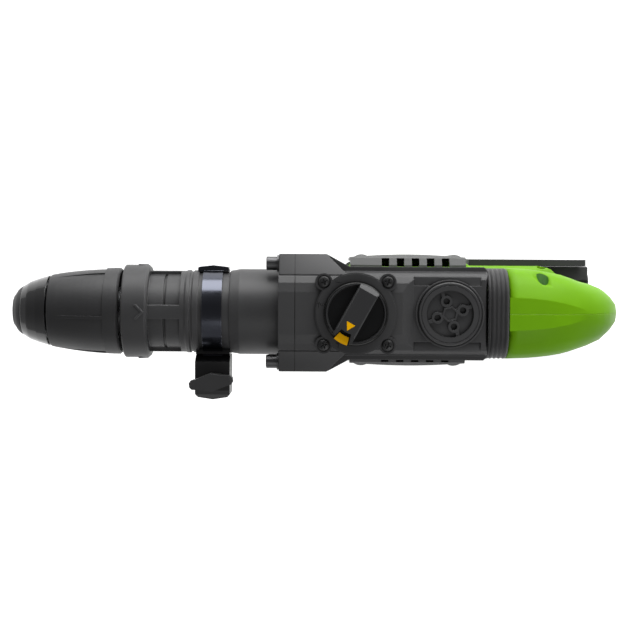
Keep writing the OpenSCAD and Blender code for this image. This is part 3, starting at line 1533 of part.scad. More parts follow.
module battery_latch(side) {
  inner = battery_half_w - 12 + latch_travel + face_gap;
  outer = battery_half_w - 0.6;
  color(charcoal) difference() {
    plan_profile(latch_z - latch_half_h, latch_z + latch_half_h, [
      for (p = [[latch_half_len, inner], [latch_half_len, outer - 2], [latch_half_len - 2, outer],
           [-latch_half_len + 2, outer], [-latch_half_len, outer - 2], [-latch_half_len, inner]])
        [latch_x + p[0], side * p[1]]
    ]);
    for (i = [-2 : 2])
      translate([latch_x + 4 * i, side * (outer + 0.7), latch_z - 8]) cylinder(r = 1.4, h = 16);
  }
}

module battery_latch_left() battery_latch(1);
module battery_latch_right() battery_latch(-1);

module battery_cells() {
  floor_z = base_z + battery_wall + seated;
  pitch = 2 * cell_r + seated;
  room_x = battery_len - 5 - 2 * battery_wall;
  room_z = battery_h - 3 - battery_wall - sliding;
  cells_in_row = floor(room_x / pitch);
  layers = floor(room_z / pitch);
  first_x = (battery_end_x + 4 + battery_x - 1) / 2 - (cells_in_row - 1) / 2 * pitch;
  color("#2f6f9f") for (i = [0 : cells_in_row - 1], layer = [0 : layers - 1])
    translate([first_x + pitch * i, -cell_len / 2, floor_z + cell_r + pitch * layer])
      rotate([-90, 0, 0]) rotate_extrude()
        polygon([[0, 0], [cell_r - 1.5, 0], [cell_r, 1.5], [cell_r, cell_len - 2.9],
             [cell_r - 1.5, cell_len - 1.4], [4, cell_len - 1.4], [4, cell_len], [0, cell_len]]);
}

// ---- Handle --------------------------------------------------------------

// Heights down the grip's outer and inner edges, as shares of the way to the foot
function outer_z(t) = (top_z - 54) * (1 - t) + handle_foot_z * t;
function inner_z(t) = -56 * (1 - t) + handle_foot_z * t;

// Stations down the handle: outer X and Z, inner X and Z, half width, grip share.
// A share of 0 gives the arm's flat-topped section and 1 the grip's round one.
// The X values count back from the handle's front end.
handle_stations = [
  [0, top_z - 2, 0, -20, handle_half_w, 0], [16, top_z - 3, 13, -21, handle_half_w - 0.5, 0],
  [34, top_z - 6, 27, -24, handle_half_w - 1.6, 0],
  [handle_len - 42, top_z - 12.5, handle_len - 56, -30, handle_half_w - 3.4, 0.1],
  [handle_len - 27, top_z - 22, handle_len - 49.5, -38, handle_half_w - 5.6, 0.25],
  [handle_len - 15, top_z - 35, handle_len - 45.5, -46, handle_half_w - 8.2, 0.45],
  [handle_len - 6.5, top_z - 54, handle_len - 43, -56, grip_half_w + 3, 0.7],
  [handle_len - 1.5, outer_z(0.168), handle_len - 42.4, inner_z(0.124), grip_half_w + 0.6, 0.9],
  [handle_len, outer_z(0.336), handle_len - 42.6, inner_z(0.27), grip_half_w, 1],
  [handle_len - 2, outer_z(0.534), handle_len - 44, inner_z(0.461), grip_half_w - 0.4, 1],
  [handle_len - 7, outer_z(0.718), handle_len - 48, inner_z(0.652), grip_half_w - 0.2, 1],
  [handle_len - 15.5, outer_z(0.87), handle_len - 56, inner_z(0.831), grip_half_w + 1, 0.8],
  [67, handle_foot_z, 26, handle_foot_z, grip_half_w + 3, 0.5]
];

// The stations with one more between each two, on a smooth curve through them
handle_curve = [
  for (i = [0 : len(handle_stations) - 2])
    let (a = handle_stations[max(i - 1, 0)], b = handle_stations[i])
    let (c = handle_stations[i + 1], d = handle_stations[min(i + 2, len(handle_stations) - 1)])
      each [b, (9 * (b + c) - a - d) / 16],
  handle_stations[len(handle_stations) - 1]
];

// Half sections from the outer middle to the inner middle: share of the half
// width, then share of the depth from -1 inside to 1 outside
arm_section = [[0, 1], [0.36, 1], [0.62, 0.87], [0.86, 0.66], [0.98, 0.4], [1, 0], [1, -0.5],
  [0.88, -0.84], [0.55, -1], [0, -1]];
grip_section = [[0, 1], [0.3, 0.94], [0.56, 0.77], [0.8, 0.5], [0.95, 0.14], [1, -0.2], [0.95, -0.5],
  [0.76, -0.8], [0.42, -0.96], [0, -1]];

// Half ring of one station, drawn in by a wall; it runs 1 mm past the middle
function handle_ring(station, side, inset) =
  let (outer = [handle_x - station[0], station[1]], inner = [handle_x - station[2], station[3]])
  let (mid = (outer + inner) / 2, half = (outer - inner) / 2)
  let (depth = norm(half), along = half / depth)
    [for (k = [0 : len(arm_section) - 1])
      let (share = arm_section[k] * (1 - station[5]) + grip_section[k] * station[5])
      let (p = mid + along * share[1] * (depth - inset))
      let (middle = k == 0 || k == len(arm_section) - 1)
        [p[0], side * (middle ? -1 : share[0] * (station[4] - inset) + split_y), p[1]]];

// One half of the handle's loft; the hollow's loft starts behind the front wall
module handle_loft(side, inset) {
  first = [inset, top_z - 2.2, inset, -20.2, handle_half_w, 0];
  stations = [for (i = [0 : len(handle_curve) - 1]) i == 0 && inset > 0 ? first : handle_curve[i]];
  rings = [for (s = stations) handle_ring(s, side, inset)];
  swept(side > 0 ? rings : [for (i = [len(rings) - 1 : -1 : 0]) rings[i]]);
}

// Screw places in X and Z; the first is the one whose pocket opens at the top
handle_screw_places = [
  [handle_x - 25, top_z - 13.7], [handle_x - 12, -10], [handle_tip_x + 20, -14],
  [handle_tip_x + 10.5, -70], [handle_x - 57, handle_foot_z + 13]
];

// All that lies on one side of the shells' joint
module handle_half(side) {
  reach = handle_half_w + 10;
  side_block(side, [handle_tip_x - 10, split_y, handle_foot_z - 10], [handle_x + 10, reach, top_z + 10]);
}

module handle_shell(side) {
  post_r = 6;
  color(green) difference() {
    union() {
      intersection() {
        handle_half(side);
        difference() {
          handle_loft(side, 0);
          handle_loft(side, handle_wall);
        }
      }
      intersection() {
        handle_loft(side, 0);
        union() {
          for (p = handle_screw_places)
            bar_y([p[0], side > 0 ? split_y : -handle_half_w - split_y, p[1]], handle_half_w, post_r);
          // Ribs that hold the switch
          for (z = [switch_z - 16, switch_z + 10])
            side_block(side, [switch_x - 11, switch_half_w + face_gap, z],
              [switch_x - 2, grip_half_w, z + 6]);
          // Floor over the pivot
          side_block(side, [handle_tip_x, split_y, handle_foot_z],
            [handle_x, handle_half_w, handle_foot_z + 4]);
        }
      }
      // Half of the pivot lug
      side_block(side, [pivot_x - 8, split_y, pivot_z], [pivot_x + 8, lug_half_w, handle_foot_z + 2]);
      bar_y([pivot_x, side > 0 ? split_y : -lug_half_w, pivot_z], lug_half_w - split_y, 8);
    }
    bar_y([pivot_x, -lug_half_w - 1, pivot_z], 2 * lug_half_w + 2, pivot_r + running);
    for (p = handle_screw_places) translate([p[0], 0, p[1]]) rotate([90, 0, 0]) {
      translate([0, 0, -12]) cylinder(r = 1.8, h = 24);
      translate([0, 0, 11]) cylinder(r = 4.4, h = handle_half_w);
    }
    // Window for the trigger
    block([switch_x + 1, -trigger_half_w - face_gap, switch_z - 19],
       [trigger_front_x + 20, trigger_half_w + face_gap, switch_z + 19]);
  }
}

module handle_shell_left() handle_shell(1);
module handle_shell_right() handle_shell(-1);

module handle_screws() {
  color(dark_steel) for (p = handle_screw_places)
    translate([p[0], 0, p[1]]) rotate([90, 0, 0]) difference() {
      union() {
        translate([0, 0, -11]) cylinder(r = 1.75, h = 22.1);
        translate([0, 0, 11]) cylinder(r = 3.6, h = 2.6);
      }
      translate([0, 0, 12.2]) cylinder(r = 1.7, h = 3, $fn = 6);
    }
}

module handle_pivot_pin() {
  color(steel) bar_y([pivot_x, -foot_half_w + 4, pivot_z], 2 * foot_half_w - 8, pivot_r);
}

module handle_springs() {
  color(steel) for (side = [-1, 1]) translate([0, 15 * side, 8])
    spring_x(gear_end_x - seated, gear_end_x - handle_x - 2 * seated, 6, 1, 4);
}

// Corrugated rubber sleeve between the gear housing and the handle
module bellows() {
  ribs = 4;
  pitch = bellows_len / ribs;
  front_x = gear_end_x - face_gap;
  height = bellows_top_z - bellows_bottom_z;
  mid_z = (bellows_top_z + bellows_bottom_z) / 2;
  color("#2b2b2d") difference() {
    for (i = [0 : ribs - 1]) {
      bellows_ring(front_x - pitch * i - 0.62 * pitch, 0.62 * pitch, 0);
      bellows_ring(front_x - pitch * (i + 1) - 0.01, 0.4 * pitch, 2);
    }
    translate([front_x - bellows_len - 1, -bellows_half_w + 6, bellows_bottom_z + 6])
      cube([bellows_len + 2, 2 * bellows_half_w - 12, height - 12]);
  }
}

module bellows_ring(x, len, inset) {
  section = round_box(-bellows_half_w + inset, bellows_half_w - inset,
            bellows_bottom_z + inset, bellows_top_z - inset, 7);
  cross_profile(x, x + len, section);
}

// Trigger body; its finger face is hollowed for the finger
module trigger() {
  half_h = 18;
  back_x = switch_x + trigger_travel + 1;
  color(charcoal) side_profile(trigger_half_w, concat(
    [[back_x, switch_z - half_h + 2], [back_x, switch_z + half_h - 1]],
    [for (i = [0 : 8])
      let (t = -1 + 2 * i / 8)
        [trigger_front_x - 1.5 + 3.2 * t * t + 1.2 * t, switch_z - half_h * t]]
  ));
}

module trigger_switch() {
  half_h = 17;
  stem_len = 0.6;
  color(black) {
    block([switch_x - 12, -switch_half_w, switch_z - half_h],
      [switch_x, switch_half_w, switch_z + half_h]);
    block([switch_x - 0.1, -4, switch_z - 4], [switch_x + stem_len, 4, switch_z + 4]);
  }
}

// ---- Assembly ------------------------------------------------------------

dust_cap();
nose_cone();
chuck_sleeve();
lock_ring();
sleeve_spring();
lock_roller_left();
lock_roller_right();
spindle();
ring_gear();
impact_bolt();
striker();
spindle_bearings();
spindle_seal();
front_housing();
housing_bolts();
clamp_band();
clamp_block();
grip_insert();
wing_screw();
gear_housing();
selector_plate();
selector_screws();
selector_knob();
selector_pointer();
selector_button();
crank_cap();
crank_cap_seal();
piston();
piston_pin();
connecting_rod();
crankshaft();
crank_gear();
bevel_shaft();
bevel_shaft_gear();
shaft_bearings();
rotor();
fan();
rotor_bearings();
stator();
windings();
motor_end_plate();
motor_housing();
bumper_left();
bumper_right();
motor_base();
base_screws();
controller_board();
battery_foot();
bellows();
handle_shell_left();
handle_shell_right();
handle_screws();
handle_pivot_pin();
handle_springs();
trigger();
trigger_switch();
battery_case();
battery_cells();
battery_latch_left();
battery_latch_right();
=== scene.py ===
# %% [markdown]
# # A cordless rotary hammer, dressed for its picture
# The solids of this tool come finished from its CAD model, with every moving part on its
# own body. What is left to do here is what a CAD model doesn't hold: what each part is
# made of, the marks and trim too thin to be worth a solid, and a studio to see it in. We
# load the model first and keep its box.

import json
import math

import bpy
from mathutils import Matrix, Vector


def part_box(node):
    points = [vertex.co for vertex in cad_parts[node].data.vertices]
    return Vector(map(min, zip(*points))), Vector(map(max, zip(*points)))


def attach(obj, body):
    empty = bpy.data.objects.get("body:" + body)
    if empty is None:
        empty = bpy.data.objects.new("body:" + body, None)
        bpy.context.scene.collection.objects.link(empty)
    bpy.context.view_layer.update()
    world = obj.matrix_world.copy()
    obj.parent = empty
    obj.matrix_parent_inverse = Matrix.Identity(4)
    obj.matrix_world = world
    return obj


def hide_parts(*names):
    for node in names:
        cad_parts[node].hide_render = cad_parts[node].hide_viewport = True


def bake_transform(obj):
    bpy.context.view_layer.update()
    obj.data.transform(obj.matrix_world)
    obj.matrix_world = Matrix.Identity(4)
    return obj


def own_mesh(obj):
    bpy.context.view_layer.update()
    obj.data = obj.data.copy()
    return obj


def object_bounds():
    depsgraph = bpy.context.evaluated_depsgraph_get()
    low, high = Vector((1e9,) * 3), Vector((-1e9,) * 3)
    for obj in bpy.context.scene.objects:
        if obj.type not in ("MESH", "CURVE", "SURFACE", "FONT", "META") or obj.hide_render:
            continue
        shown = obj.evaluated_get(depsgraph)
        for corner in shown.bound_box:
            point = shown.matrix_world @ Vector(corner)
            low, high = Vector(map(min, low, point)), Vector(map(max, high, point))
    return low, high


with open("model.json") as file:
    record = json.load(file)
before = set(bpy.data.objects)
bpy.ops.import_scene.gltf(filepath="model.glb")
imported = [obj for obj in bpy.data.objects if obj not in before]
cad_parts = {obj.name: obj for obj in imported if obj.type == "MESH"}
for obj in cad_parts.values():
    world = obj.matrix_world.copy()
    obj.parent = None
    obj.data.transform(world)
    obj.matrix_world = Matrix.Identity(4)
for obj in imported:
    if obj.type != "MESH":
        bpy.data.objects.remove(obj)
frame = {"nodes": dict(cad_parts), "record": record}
cad_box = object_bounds()
MM = 0.001
print("nodes:", len(frame["nodes"]))
print("box in mm:", [[round(v / MM, 1) for v in corner] for corner in cad_box])


# %% [markdown]
# ## Colours and nodes
# Colours are easiest to name as they look on a screen, in sRGB hex, but a shader reckons in
# linear light. One function turns the first into the second. A second small function adds a
# shader node with its settings and its links, so that each material below reads as a list.
# Two sockets of a Math node share one name, so a socket may be given by its number too.

# %% Colour and node helpers
def linear(hex_colour):
    """The linear colour of an sRGB hex value, with full alpha."""
    shares = [int(hex_colour[i:i + 2], 16) / 255 for i in (1, 3, 5)]
    return [s / 12.92 if s <= 0.04045 else ((s + 0.055) / 1.055) ** 2.4 for s in shares] + [1.0]


def add(material, kind, settings, links=None):
    """A new shader node; a setting is a property or a socket's value, a link a socket to read."""
    node = material.node_tree.nodes.new("ShaderNode" + kind)
    for name, value in settings.items():
        if isinstance(name, int) or name in node.inputs:
            node.inputs[name].default_value = value
        else:
            setattr(node, name, value)
    for name, source in (links or {}).items():
        material.node_tree.links.new(source, node.inputs[name])
    return node


print("charcoal in linear light:", [round(v, 3) for v in linear("#3b3b3c")[:3]])


# %% [markdown]
# ## Worn edges and painted shade in crevices
# No real edge is knife sharp. It catches a thin line of light and loses some colour first.
# Such edges could be bevelled in every solid, but the Bevel node finds them in the shader
# and leaves the solids as they are: where its rounded normal leaves the flat one, an edge is
# near. Where two surfaces meet, the colour is also darkened as painted shade.

# %% Edges and crevices
# Painted shade: within this reach of another surface the colour is darkened towards black.
CREVICE_MM = 5.0  # how near to each other two surfaces keep dust and shade between them


def rounded_edges(material, radius_mm):
    """The normal of slightly rounded edges, and a mask that is 1 along them."""
    rounded = add(material, "Bevel", {"samples": 6, "Radius": radius_mm * MM}).outputs["Normal"]
    flat = add(material, "NewGeometry", {}).outputs["Normal"]
    likeness = add(material, "VectorMath", {"operation": "DOT_PRODUCT"}, {0: rounded, 1: flat})
    edge = add(material, "MapRange",
               {"From Min": 0.97, "From Max": 0.80, "To Min": 0.0, "To Max": 1.0},
               {"Value": likeness.outputs["Value"]})
    return rounded, edge.outputs["Result"]


def painted_crevice_shade(material, colour):
    """A colour darkened nearly to black where little open air reaches the surface: painted shade.
    """
    open_air = add(material, "AmbientOcclusion", {"samples": 4, "Distance": CREVICE_MM * MM},
                   {"Color": colour})
    shade = add(material, "MapRange",
                {"From Min": 0.15, "From Max": 0.75, "To Min": 0.75, "To Max": 0.0},
                {"Value": open_air.outputs["AO"]})
    darkened = add(material, "MixRGB", {"Color2": (0.004, 0.004, 0.004, 1.0)},
                {"Fac": shade.outputs["Result"], "Color1": colour})
    return darkened.outputs["Color"]


print("edges and crevices ready")


# %% [markdown]
# ## A starting point for every finish
# All of these finishes have more in common. Their colour and gloss drift a little from place
# to place, as a real surface takes dust and handling. A fine grain roughens them: the spark
# erosion of a mould, or the orange peel of a powder coat. A picture of each surface would
# do that as well, but a noise needs no unwrapped mesh and has its grain in real millimetres.
# A turned part's grain is stretched around its axis, and a knurled one's along it.

# %% The common finish
PATCH_MM = 38.0       # breadth of one patch of dust and handling
PATCH_SHARE = 0.86    # what such a patch leaves of the colour
GLOSS_DRIFT = 0.05    # how far the roughness drifts to either side


def finish(name, colour, worn, roughness, grain_mm, grain_depth, edge_mm=0.35, metallic=0.0,
           stretch=(1, 1, 1), sockets=None):
    """A material with drifting colour, fine grain, softly worn edges and painted crevice shade."""
    material = bpy.data.materials.new(name)
    material.use_nodes = True
    shader = material.node_tree.nodes["Principled BSDF"]
    for socket, value in {"Metallic": metallic, **(sockets or {})}.items():
        shader.inputs[socket].default_value = value

    spot = add(material, "TexCoord", {}).outputs["Object"]
    drift = add(material, "TexNoise", {"Scale": 1 / (PATCH_MM * MM), "Detail": 3.0},
                {"Vector": spot}).outputs["Fac"]
    drawn = add(material, "Mapping", {"Scale": stretch}, {"Vector": spot}).outputs["Vector"]
    grain = add(material, "TexNoise", {"Scale": 1 / (grain_mm * MM), "Detail": 2.0},
                {"Vector": drawn}).outputs["Fac"]
    rounded, edge = rounded_edges(material, edge_mm)

    shades = add(material, "ValToRGB", {}, {"Fac": drift})
    dull, clean = shades.color_ramp.elements
    dull.position, clean.position = 0.30, 0.72
    dull.color = [PATCH_SHARE * v for v in linear(colour)[:3]] + [1.0]
    clean.color = linear(colour)
    paint = add(material, "MixRGB", {"Color2": linear(worn)},
                {"Fac": edge, "Color1": shades.outputs["Color"]}).outputs["Color"]
    gloss = add(material, "MapRange",
                {"From Min": 0.3, "From Max": 0.7,
                 "To Min": roughness - GLOSS_DRIFT, "To Max": roughness + GLOSS_DRIFT},
                {"Value": drift}).outputs["Result"]
    relief = add(material, "Bump", {"Strength": 1.0, "Distance": grain_depth * MM},
                 {"Height": grain, "Normal": rounded}).outputs["Normal"]
    # The base colour carries painted shade in its crevices.
    for socket, source in (("Base Color", painted_crevice_shade(material, paint)),
                           ("Roughness", gloss), ("Normal", relief)):
        material.node_tree.links.new(source, shader.inputs[socket])
    return material


print("the common finish is ready")


# %% [markdown]
# ## Marks within a finish
# A parting seam, painted shade in a narrow groove and a darker zone share the
# surface of one solid. Each could be painted on, or cut out as a piece of its own. Here a
# mark is another colour between limits in millimetres, along the model's axes or round a
# line, so it stays sharp at any distance and moves with its part.

# %% A mark by its limits
def mark(material, colour, between=None, around=None):
    """Another colour over a finish: between limits along axes, and round (point, axis, limits)."""
    spot = add(material, "TexCoord", {}).outputs["Object"]
    split = add(material, "SeparateXYZ", {}, {"Vector": spot})
    measures = [(split.outputs[axis], limits) for axis, limits in (between or {}).items()]
    if around:
        point, axis, limits = around
        across = [0.0 if letter == axis else 1.0 for letter in "XYZ"]
        moved = add(material, "Mapping",
                    {"Location": [-k * v for k, v in zip(across, point)], "Scale": across},
                    {"Vector": spot})
        reach = add(material, "VectorMath", {"operation": "LENGTH"},
                    {"Vector": moved.outputs["Vector"]})
        measures.append((reach.outputs["Value"], limits))

    mask = None
    for measure, (low, high) in measures:
        inside = add(material, "Math",
                     {"operation": "COMPARE", 1: (low + high) / 2, 2: (high - low) / 2},
                     {0: measure}).outputs["Value"]
        if mask:
            inside = add(material, "Math", {"operation": "MULTIPLY"},
                         {0: mask, 1: inside}).outputs["Value"]
        mask = inside
    base = material.node_tree.nodes["Principled BSDF"].inputs["Base Color"]
    over = add(material, "MixRGB", {"Color2": linear(colour)},
               {"Fac": mask, "Color1": base.links[0].from_socket})
    material.node_tree.links.new(over.outputs["Color"], base)


print("marks ready")

# %% [markdown]
# ## Castings and mouldings
# The gear housing and the barrel are die-cast aluminium under a charcoal powder coat. The
# coat hides the metal, so the shader isn't metallic: what the eye gets is a dry, faintly
# pebbled surface. The grips and the motor housing are glass-filled nylon, moulded in tools
# with a spark-eroded skin, a little smoother and a little glossier than the coat. One finish
# with other numbers gives all of them, which keeps them alike where they really are alike.

# %% Powder coat and charcoal nylon
# Powder-coated die-cast aluminium: a dry, pebbled charcoal skin
powder_coat = finish("powder_coated_die_cast_aluminium", "#353536", "#545455",
                     roughness=0.50, grain_mm=0.7, grain_depth=0.035, edge_mm=1.0)
# The same coat on the machined crank cap, with crisper edges
cap_coat = finish("powder_coated_cap", "#323233", "#3c3c3d",
                  roughness=0.50, grain_mm=0.7, grain_depth=0.030, edge_mm=0.3)
# Glass-filled nylon with a fine spark-eroded skin: chuck sleeve, trigger and wing knob
charcoal_nylon = finish("moulded_glass_filled_nylon_charcoal", "#2a2a2b", "#444446",
                        roughness=0.48, grain_mm=0.35, grain_depth=0.014)
# The same skin, a shade lighter: the plate under the selector
plate_nylon = finish("moulded_glass_filled_nylon_plate", "#2e2e2f", "#424244",
                     roughness=0.48, grain_mm=0.35, grain_depth=0.012)
print("two coats and two charcoal nylons")

# %% [markdown]
# ## Black, green and yellow mouldings
# The smaller fittings are black, the motor housing and the handle green. A strong colour
# looks chalky under a white mirror image, so the green and the yellow mirror less than
# nylon does by the book. The nose cone is the one polished moulding. Its clear, hard skin is
# a coat over the colour, which draws narrow highlights on it.

# %% Coloured mouldings
# Glass-filled nylon in black: clamp block and battery
black_nylon = finish("moulded_glass_filled_nylon_black", "#161617", "#2c2c2e",
                     roughness=0.40, grain_mm=0.35, grain_depth=0.010)
# The same nylon, blacker and smoother on the selector's turning disc
selector_nylon = finish("moulded_glass_filled_nylon_selector", "#09090a", "#1e1e20",
                        roughness=0.32, grain_mm=0.35, grain_depth=0.006,
                        sockets={"Specular IOR Level": 0.3})
# The same nylon in the tool's green, left a little glossier by its mould
green_nylon = finish("moulded_glass_filled_nylon_green", "#72ad03", "#86c418",
                     roughness=0.42, grain_mm=0.45, grain_depth=0.008, edge_mm=1.2,
                     sockets={"Specular IOR Level": 0.15})
# The handle's own batch of that green
handle_nylon = finish("moulded_glass_filled_nylon_green_handle", "#70aa03", "#84c018",
                      roughness=0.44, grain_mm=0.45, grain_depth=0.008, edge_mm=0.9,
                      sockets={"Specular IOR Level": 0.15})
# Unfilled nylon from a polished mould: the hard nose cone
polished_nylon = finish("polished_nylon_black", "#141415", "#333335",
                        roughness=0.20, grain_mm=0.6, grain_depth=0.002, edge_mm=0.5,
                        sockets={"Coat Weight": 0.6, "Coat Roughness": 0.08})
# Acetal, dense and waxy: the lock button and the pointer
acetal = finish("moulded_acetal_orange_yellow", "#ffbc00", "#ffcc30",
                roughness=0.40, grain_mm=0.4, grain_depth=0.004,
                sockets={"Specular IOR Level": 0.1})
print("six coloured mouldings")

# %% [markdown]
# ## Rubbers
# Rubber scatters light at its very surface and shows almost no mirror image. The dust cap
# and the bellows are nitrile rubber, dull and nearly black. The soft overmould on the
# bumpers and the base is a greyer thermoplastic with a coarser skin. A little sheen gives
# both the pale bloom that rubber shows at a grazing look.

# %% Rubbers
# Nitrile rubber, compression moulded
nitrile = finish("moulded_nitrile_rubber", "#262627", "#3a3a3b",
                 roughness=0.60, grain_mm=0.5, grain_depth=0.012, sockets={"Sheen Weight": 0.15})
# Thermoplastic elastomer moulded over nylon
overmould = finish("thermoplastic_elastomer_grey", "#585958", "#6c6d6c",
                   roughness=0.56, grain_mm=0.6, grain_depth=0.020, sockets={"Sheen Weight": 0.12})
print("rubbers done")

# %% [markdown]
# ## Metals
# Turned and ground steel keeps the fine marks of its machining. A noise stretched to almost
# nothing along the spindle and left long around it draws such marks on anything that was
# turned about that axis. Blackened steel is the same metal under a thin oxide that darkens
# and tints the mirror image instead of hiding it, which is why the clamp band reads as bright
# in one place and black in the next.

# %% Steels
# Turned and ground bearing steel
ground_steel = finish("turned_and_ground_steel", "#a3a4a6", "#c4c5c7",
                      roughness=0.26, grain_mm=0.5, grain_depth=0.004, edge_mm=0.2,
                      metallic=1.0, stretch=(1, 0.08, 0.08))
# Steel blackened in a hot salt bath, polished first
black_steel = finish("blackened_polished_steel", "#50525a", "#7c7e84",
                     roughness=0.20, grain_mm=0.5, grain_depth=0.0015, edge_mm=0.3,
                     metallic=1.0)
# The same steel, knurled along the bolts
knurled_steel = finish("blackened_knurled_steel", "#5a5a5b", "#808081",
                       roughness=0.38, grain_mm=0.9, grain_depth=0.12, edge_mm=0.3,
                       metallic=1.0, stretch=(0.05, 1, 1))
# Silicon steel sheets, stamped and stacked
lamination = finish("stacked_silicon_steel", "#6d6f73", "#86888c",
                    roughness=0.42, grain_mm=0.5, grain_depth=0.006, edge_mm=0.2, metallic=1.0)
print("four steels")

# %% [markdown]
# ## Light metals, board and cells
# The piston, the windings, the board and the cells are only seen with the housings off. They
# still get their real finishes: turned aluminium, copper under clear enamel, glass-fibre
# laminate under green lacquer, and the blue sleeve shrunk round a cell.

# %% Inside parts
# Turned aluminium: the piston and the motor's end plate
aluminium = finish("turned_aluminium", "#98999b", "#b4b5b7",
                   roughness=0.42, grain_mm=0.5, grain_depth=0.003, edge_mm=0.2, metallic=1.0)
# Copper wire under clear enamel
enamelled_copper = finish("enamelled_copper_wire", "#b5642c", "#cf8450",
                          roughness=0.30, grain_mm=0.9, grain_depth=0.060, edge_mm=0.2,
                          metallic=1.0)
# Glass-fibre laminate under solder lacquer
circuit_laminate = finish("lacquered_glass_fibre_laminate", "#1f5a3a", "#2f7450",
                          roughness=0.30, grain_mm=0.6, grain_depth=0.004)
# Heat-shrunk sleeve of a battery cell
shrink_sleeve = finish("heat_shrunk_vinyl_blue", "#2f6f9f", "#4788b6",
                       roughness=0.24, grain_mm=1.2, grain_depth=0.006)
print("inside finishes done")

# %% [markdown]
# ## Marks on the housing and the bumpers
# A dark line shows where the barrel's flange meets the gear housing, and painted shade lies in
# the narrow groove round the cage's floor, in the one round the crank cap and at the cap's
# recess. The overmould is darker behind the motor housing, and the left bumper is darker as
# painted shade, on the side away from the strong lamp. All of them are lines and zones across
# one solid, so they are marks and not pieces.

# %% Housing and bumper marks
seam_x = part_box("gear_housing")[1][0]
mark(powder_coat, "#0c0c0c", {"X": (seam_x - 0.35 * MM, seam_x + 0.35 * MM)})
guard_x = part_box("front_housing")[1][0]
# Painted shade in the groove round the cage's floor
mark(powder_coat, "#101010", {"X": (guard_x - 32.2 * MM, guard_x - 29.6 * MM)},
     ((0, 0, 0), "X", (0, 27.5 * MM)))

crank_low, crank_high = (Vector(corner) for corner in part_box("crank_cap"))
crank_axis, cap_reach = (crank_low + crank_high) / 2, (crank_high.y - crank_low.y) / 2
# Painted shade in the gap round the crank cap
for coat in (powder_coat, cap_coat):
    mark(coat, "#070707",
         around=(crank_axis, "Z", (cap_reach - 0.3 * MM, cap_reach + 0.7 * MM)))
# Painted shade at the wall of the cap's recess
mark(cap_coat, "#101010", around=(crank_axis, "Z", (16.35 * MM, 17.05 * MM)))

motor_low, motor_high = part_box("motor_housing")
# Darker overmould behind the motor housing
mark(overmould, "#303031", {"X": (cad_box[0][0] - 1 * MM, motor_low[0])})
# Painted shade: the left bumper, away from the strong lamp, is darker
mark(overmould, "#3a3a3b", {"Y": (motor_high[1] - 12 * MM, motor_high[1] + 12 * MM)})
print("marks from the seam at x mm:", round(seam_x / MM, 1))

# %% [markdown]
# ## Marks on the selector and the handle
# The selector's raised bar has the sleeve's charcoal skin, and shade lies in the gap round
# its disc. The handle shows the thin joint of its two shells and the shaded pocket of its
# first screw, on the right side only. The pocket is a shallow recess, so a shade is enough.

# %% Selector and handle marks
BAR_HEIGHT = 8.0 * MM  # how far the bar's own skin reaches down from its top
knob_low, knob_high = (Vector(corner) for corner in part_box("selector_knob"))
knob_axis = (knob_low + knob_high) / 2
mark(selector_nylon, "#333334", {"Z": (knob_high.z - BAR_HEIGHT, knob_high.z + 1 * MM)})
# Painted shade in the gap round the selector's disc, on the knob and on the plate
mark(selector_nylon, "#030303", around=(knob_axis, "Z", (21.4 * MM, 24.6 * MM)))
mark(plate_nylon, "#080808", around=(knob_axis, "Z", (22.1 * MM, 23.5 * MM)))

screw_spot = (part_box("handle_shell_right")[1][0] - 25 * MM, 0.0,
              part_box("handle_screws")[1][2] - 3.6 * MM)
mark(handle_nylon, "#8fca2c", {"Y": (-0.14 * MM, 0.14 * MM)})
# Painted shade in the first screw's pocket, right side only
mark(handle_nylon, "#2a5e00", {"Y": (-59 * MM, -1 * MM)},
     (screw_spot, "Y", (0, 4.5 * MM)))
print("screw pocket at mm:", [round(v / MM, 1) for v in screw_spot])

# %% [markdown]
# ## Giving out the finishes
# The model names a material slot for every part, so most parts take their finish by it. A
# few share a slot but were made another way, and get theirs by name.

# %% Finishes to parts
finish_of_slot = {
    "cap_rubber": nitrile, "cone_plastic": polished_nylon, "sleeve_plastic": charcoal_nylon,
    "cast_black": powder_coat, "green_nylon": green_nylon, "black_nylon": black_nylon,
    "grey_overmould": overmould, "ground_steel": ground_steel, "black_steel": black_steel,
    "piston_alloy": aluminium, "lamination": lamination, "copper_wire": enamelled_copper,
    "signal_yellow": acetal, "circuit_board": circuit_laminate, "cell_wrap": shrink_sleeve,
}
finish_of_node = {
    "selector_knob": selector_nylon, "housing_bolts": knurled_steel,
    "selector_screws": black_nylon, "crank_cap": cap_coat, "selector_plate": plate_nylon,
    "handle_shell_left": handle_nylon, "handle_shell_right": handle_nylon,
}
for part in frame["record"]["subparts"]:
    solid = frame["nodes"][part["node"]]
    solid.data.materials.clear()
    solid.data.materials.append(
        finish_of_node.get(part["node"], finish_of_slot[part["material_slot"]]))


# %% [markdown]
# ## Tools for new pieces
# Some parts need a finer shape than a collision solid gives: the soft ones above all. Each
# is drawn as one would by hand: start from a simple outline, then extrude and scale it step
# by step. `start` makes the outline and enters edit mode with all of it selected; `bar` does
# so with a block of a given size; `done` turns the faces outward and shades them.

# %% Starting and finishing a piece
def start(operator, name, **settings):
    """A new primitive at its place, in edit mode, all selected."""
    bpy.ops.object.select_all(action="DESELECT")
    operator(**settings)
    piece = bpy.context.object
    piece.name = name
    bpy.ops.object.transform_apply(location=True, rotation=True, scale=True)
    bpy.ops.object.mode_set(mode="EDIT")
    bpy.ops.mesh.select_all(action="SELECT")
    return piece


def bar(name, centre, size):
    """A block about a centre, in edit mode, all selected."""
    piece = start(bpy.ops.mesh.primitive_cube_add, name, size=1.0, location=centre)
    bpy.ops.transform.resize(value=size, center_override=centre)
    return piece


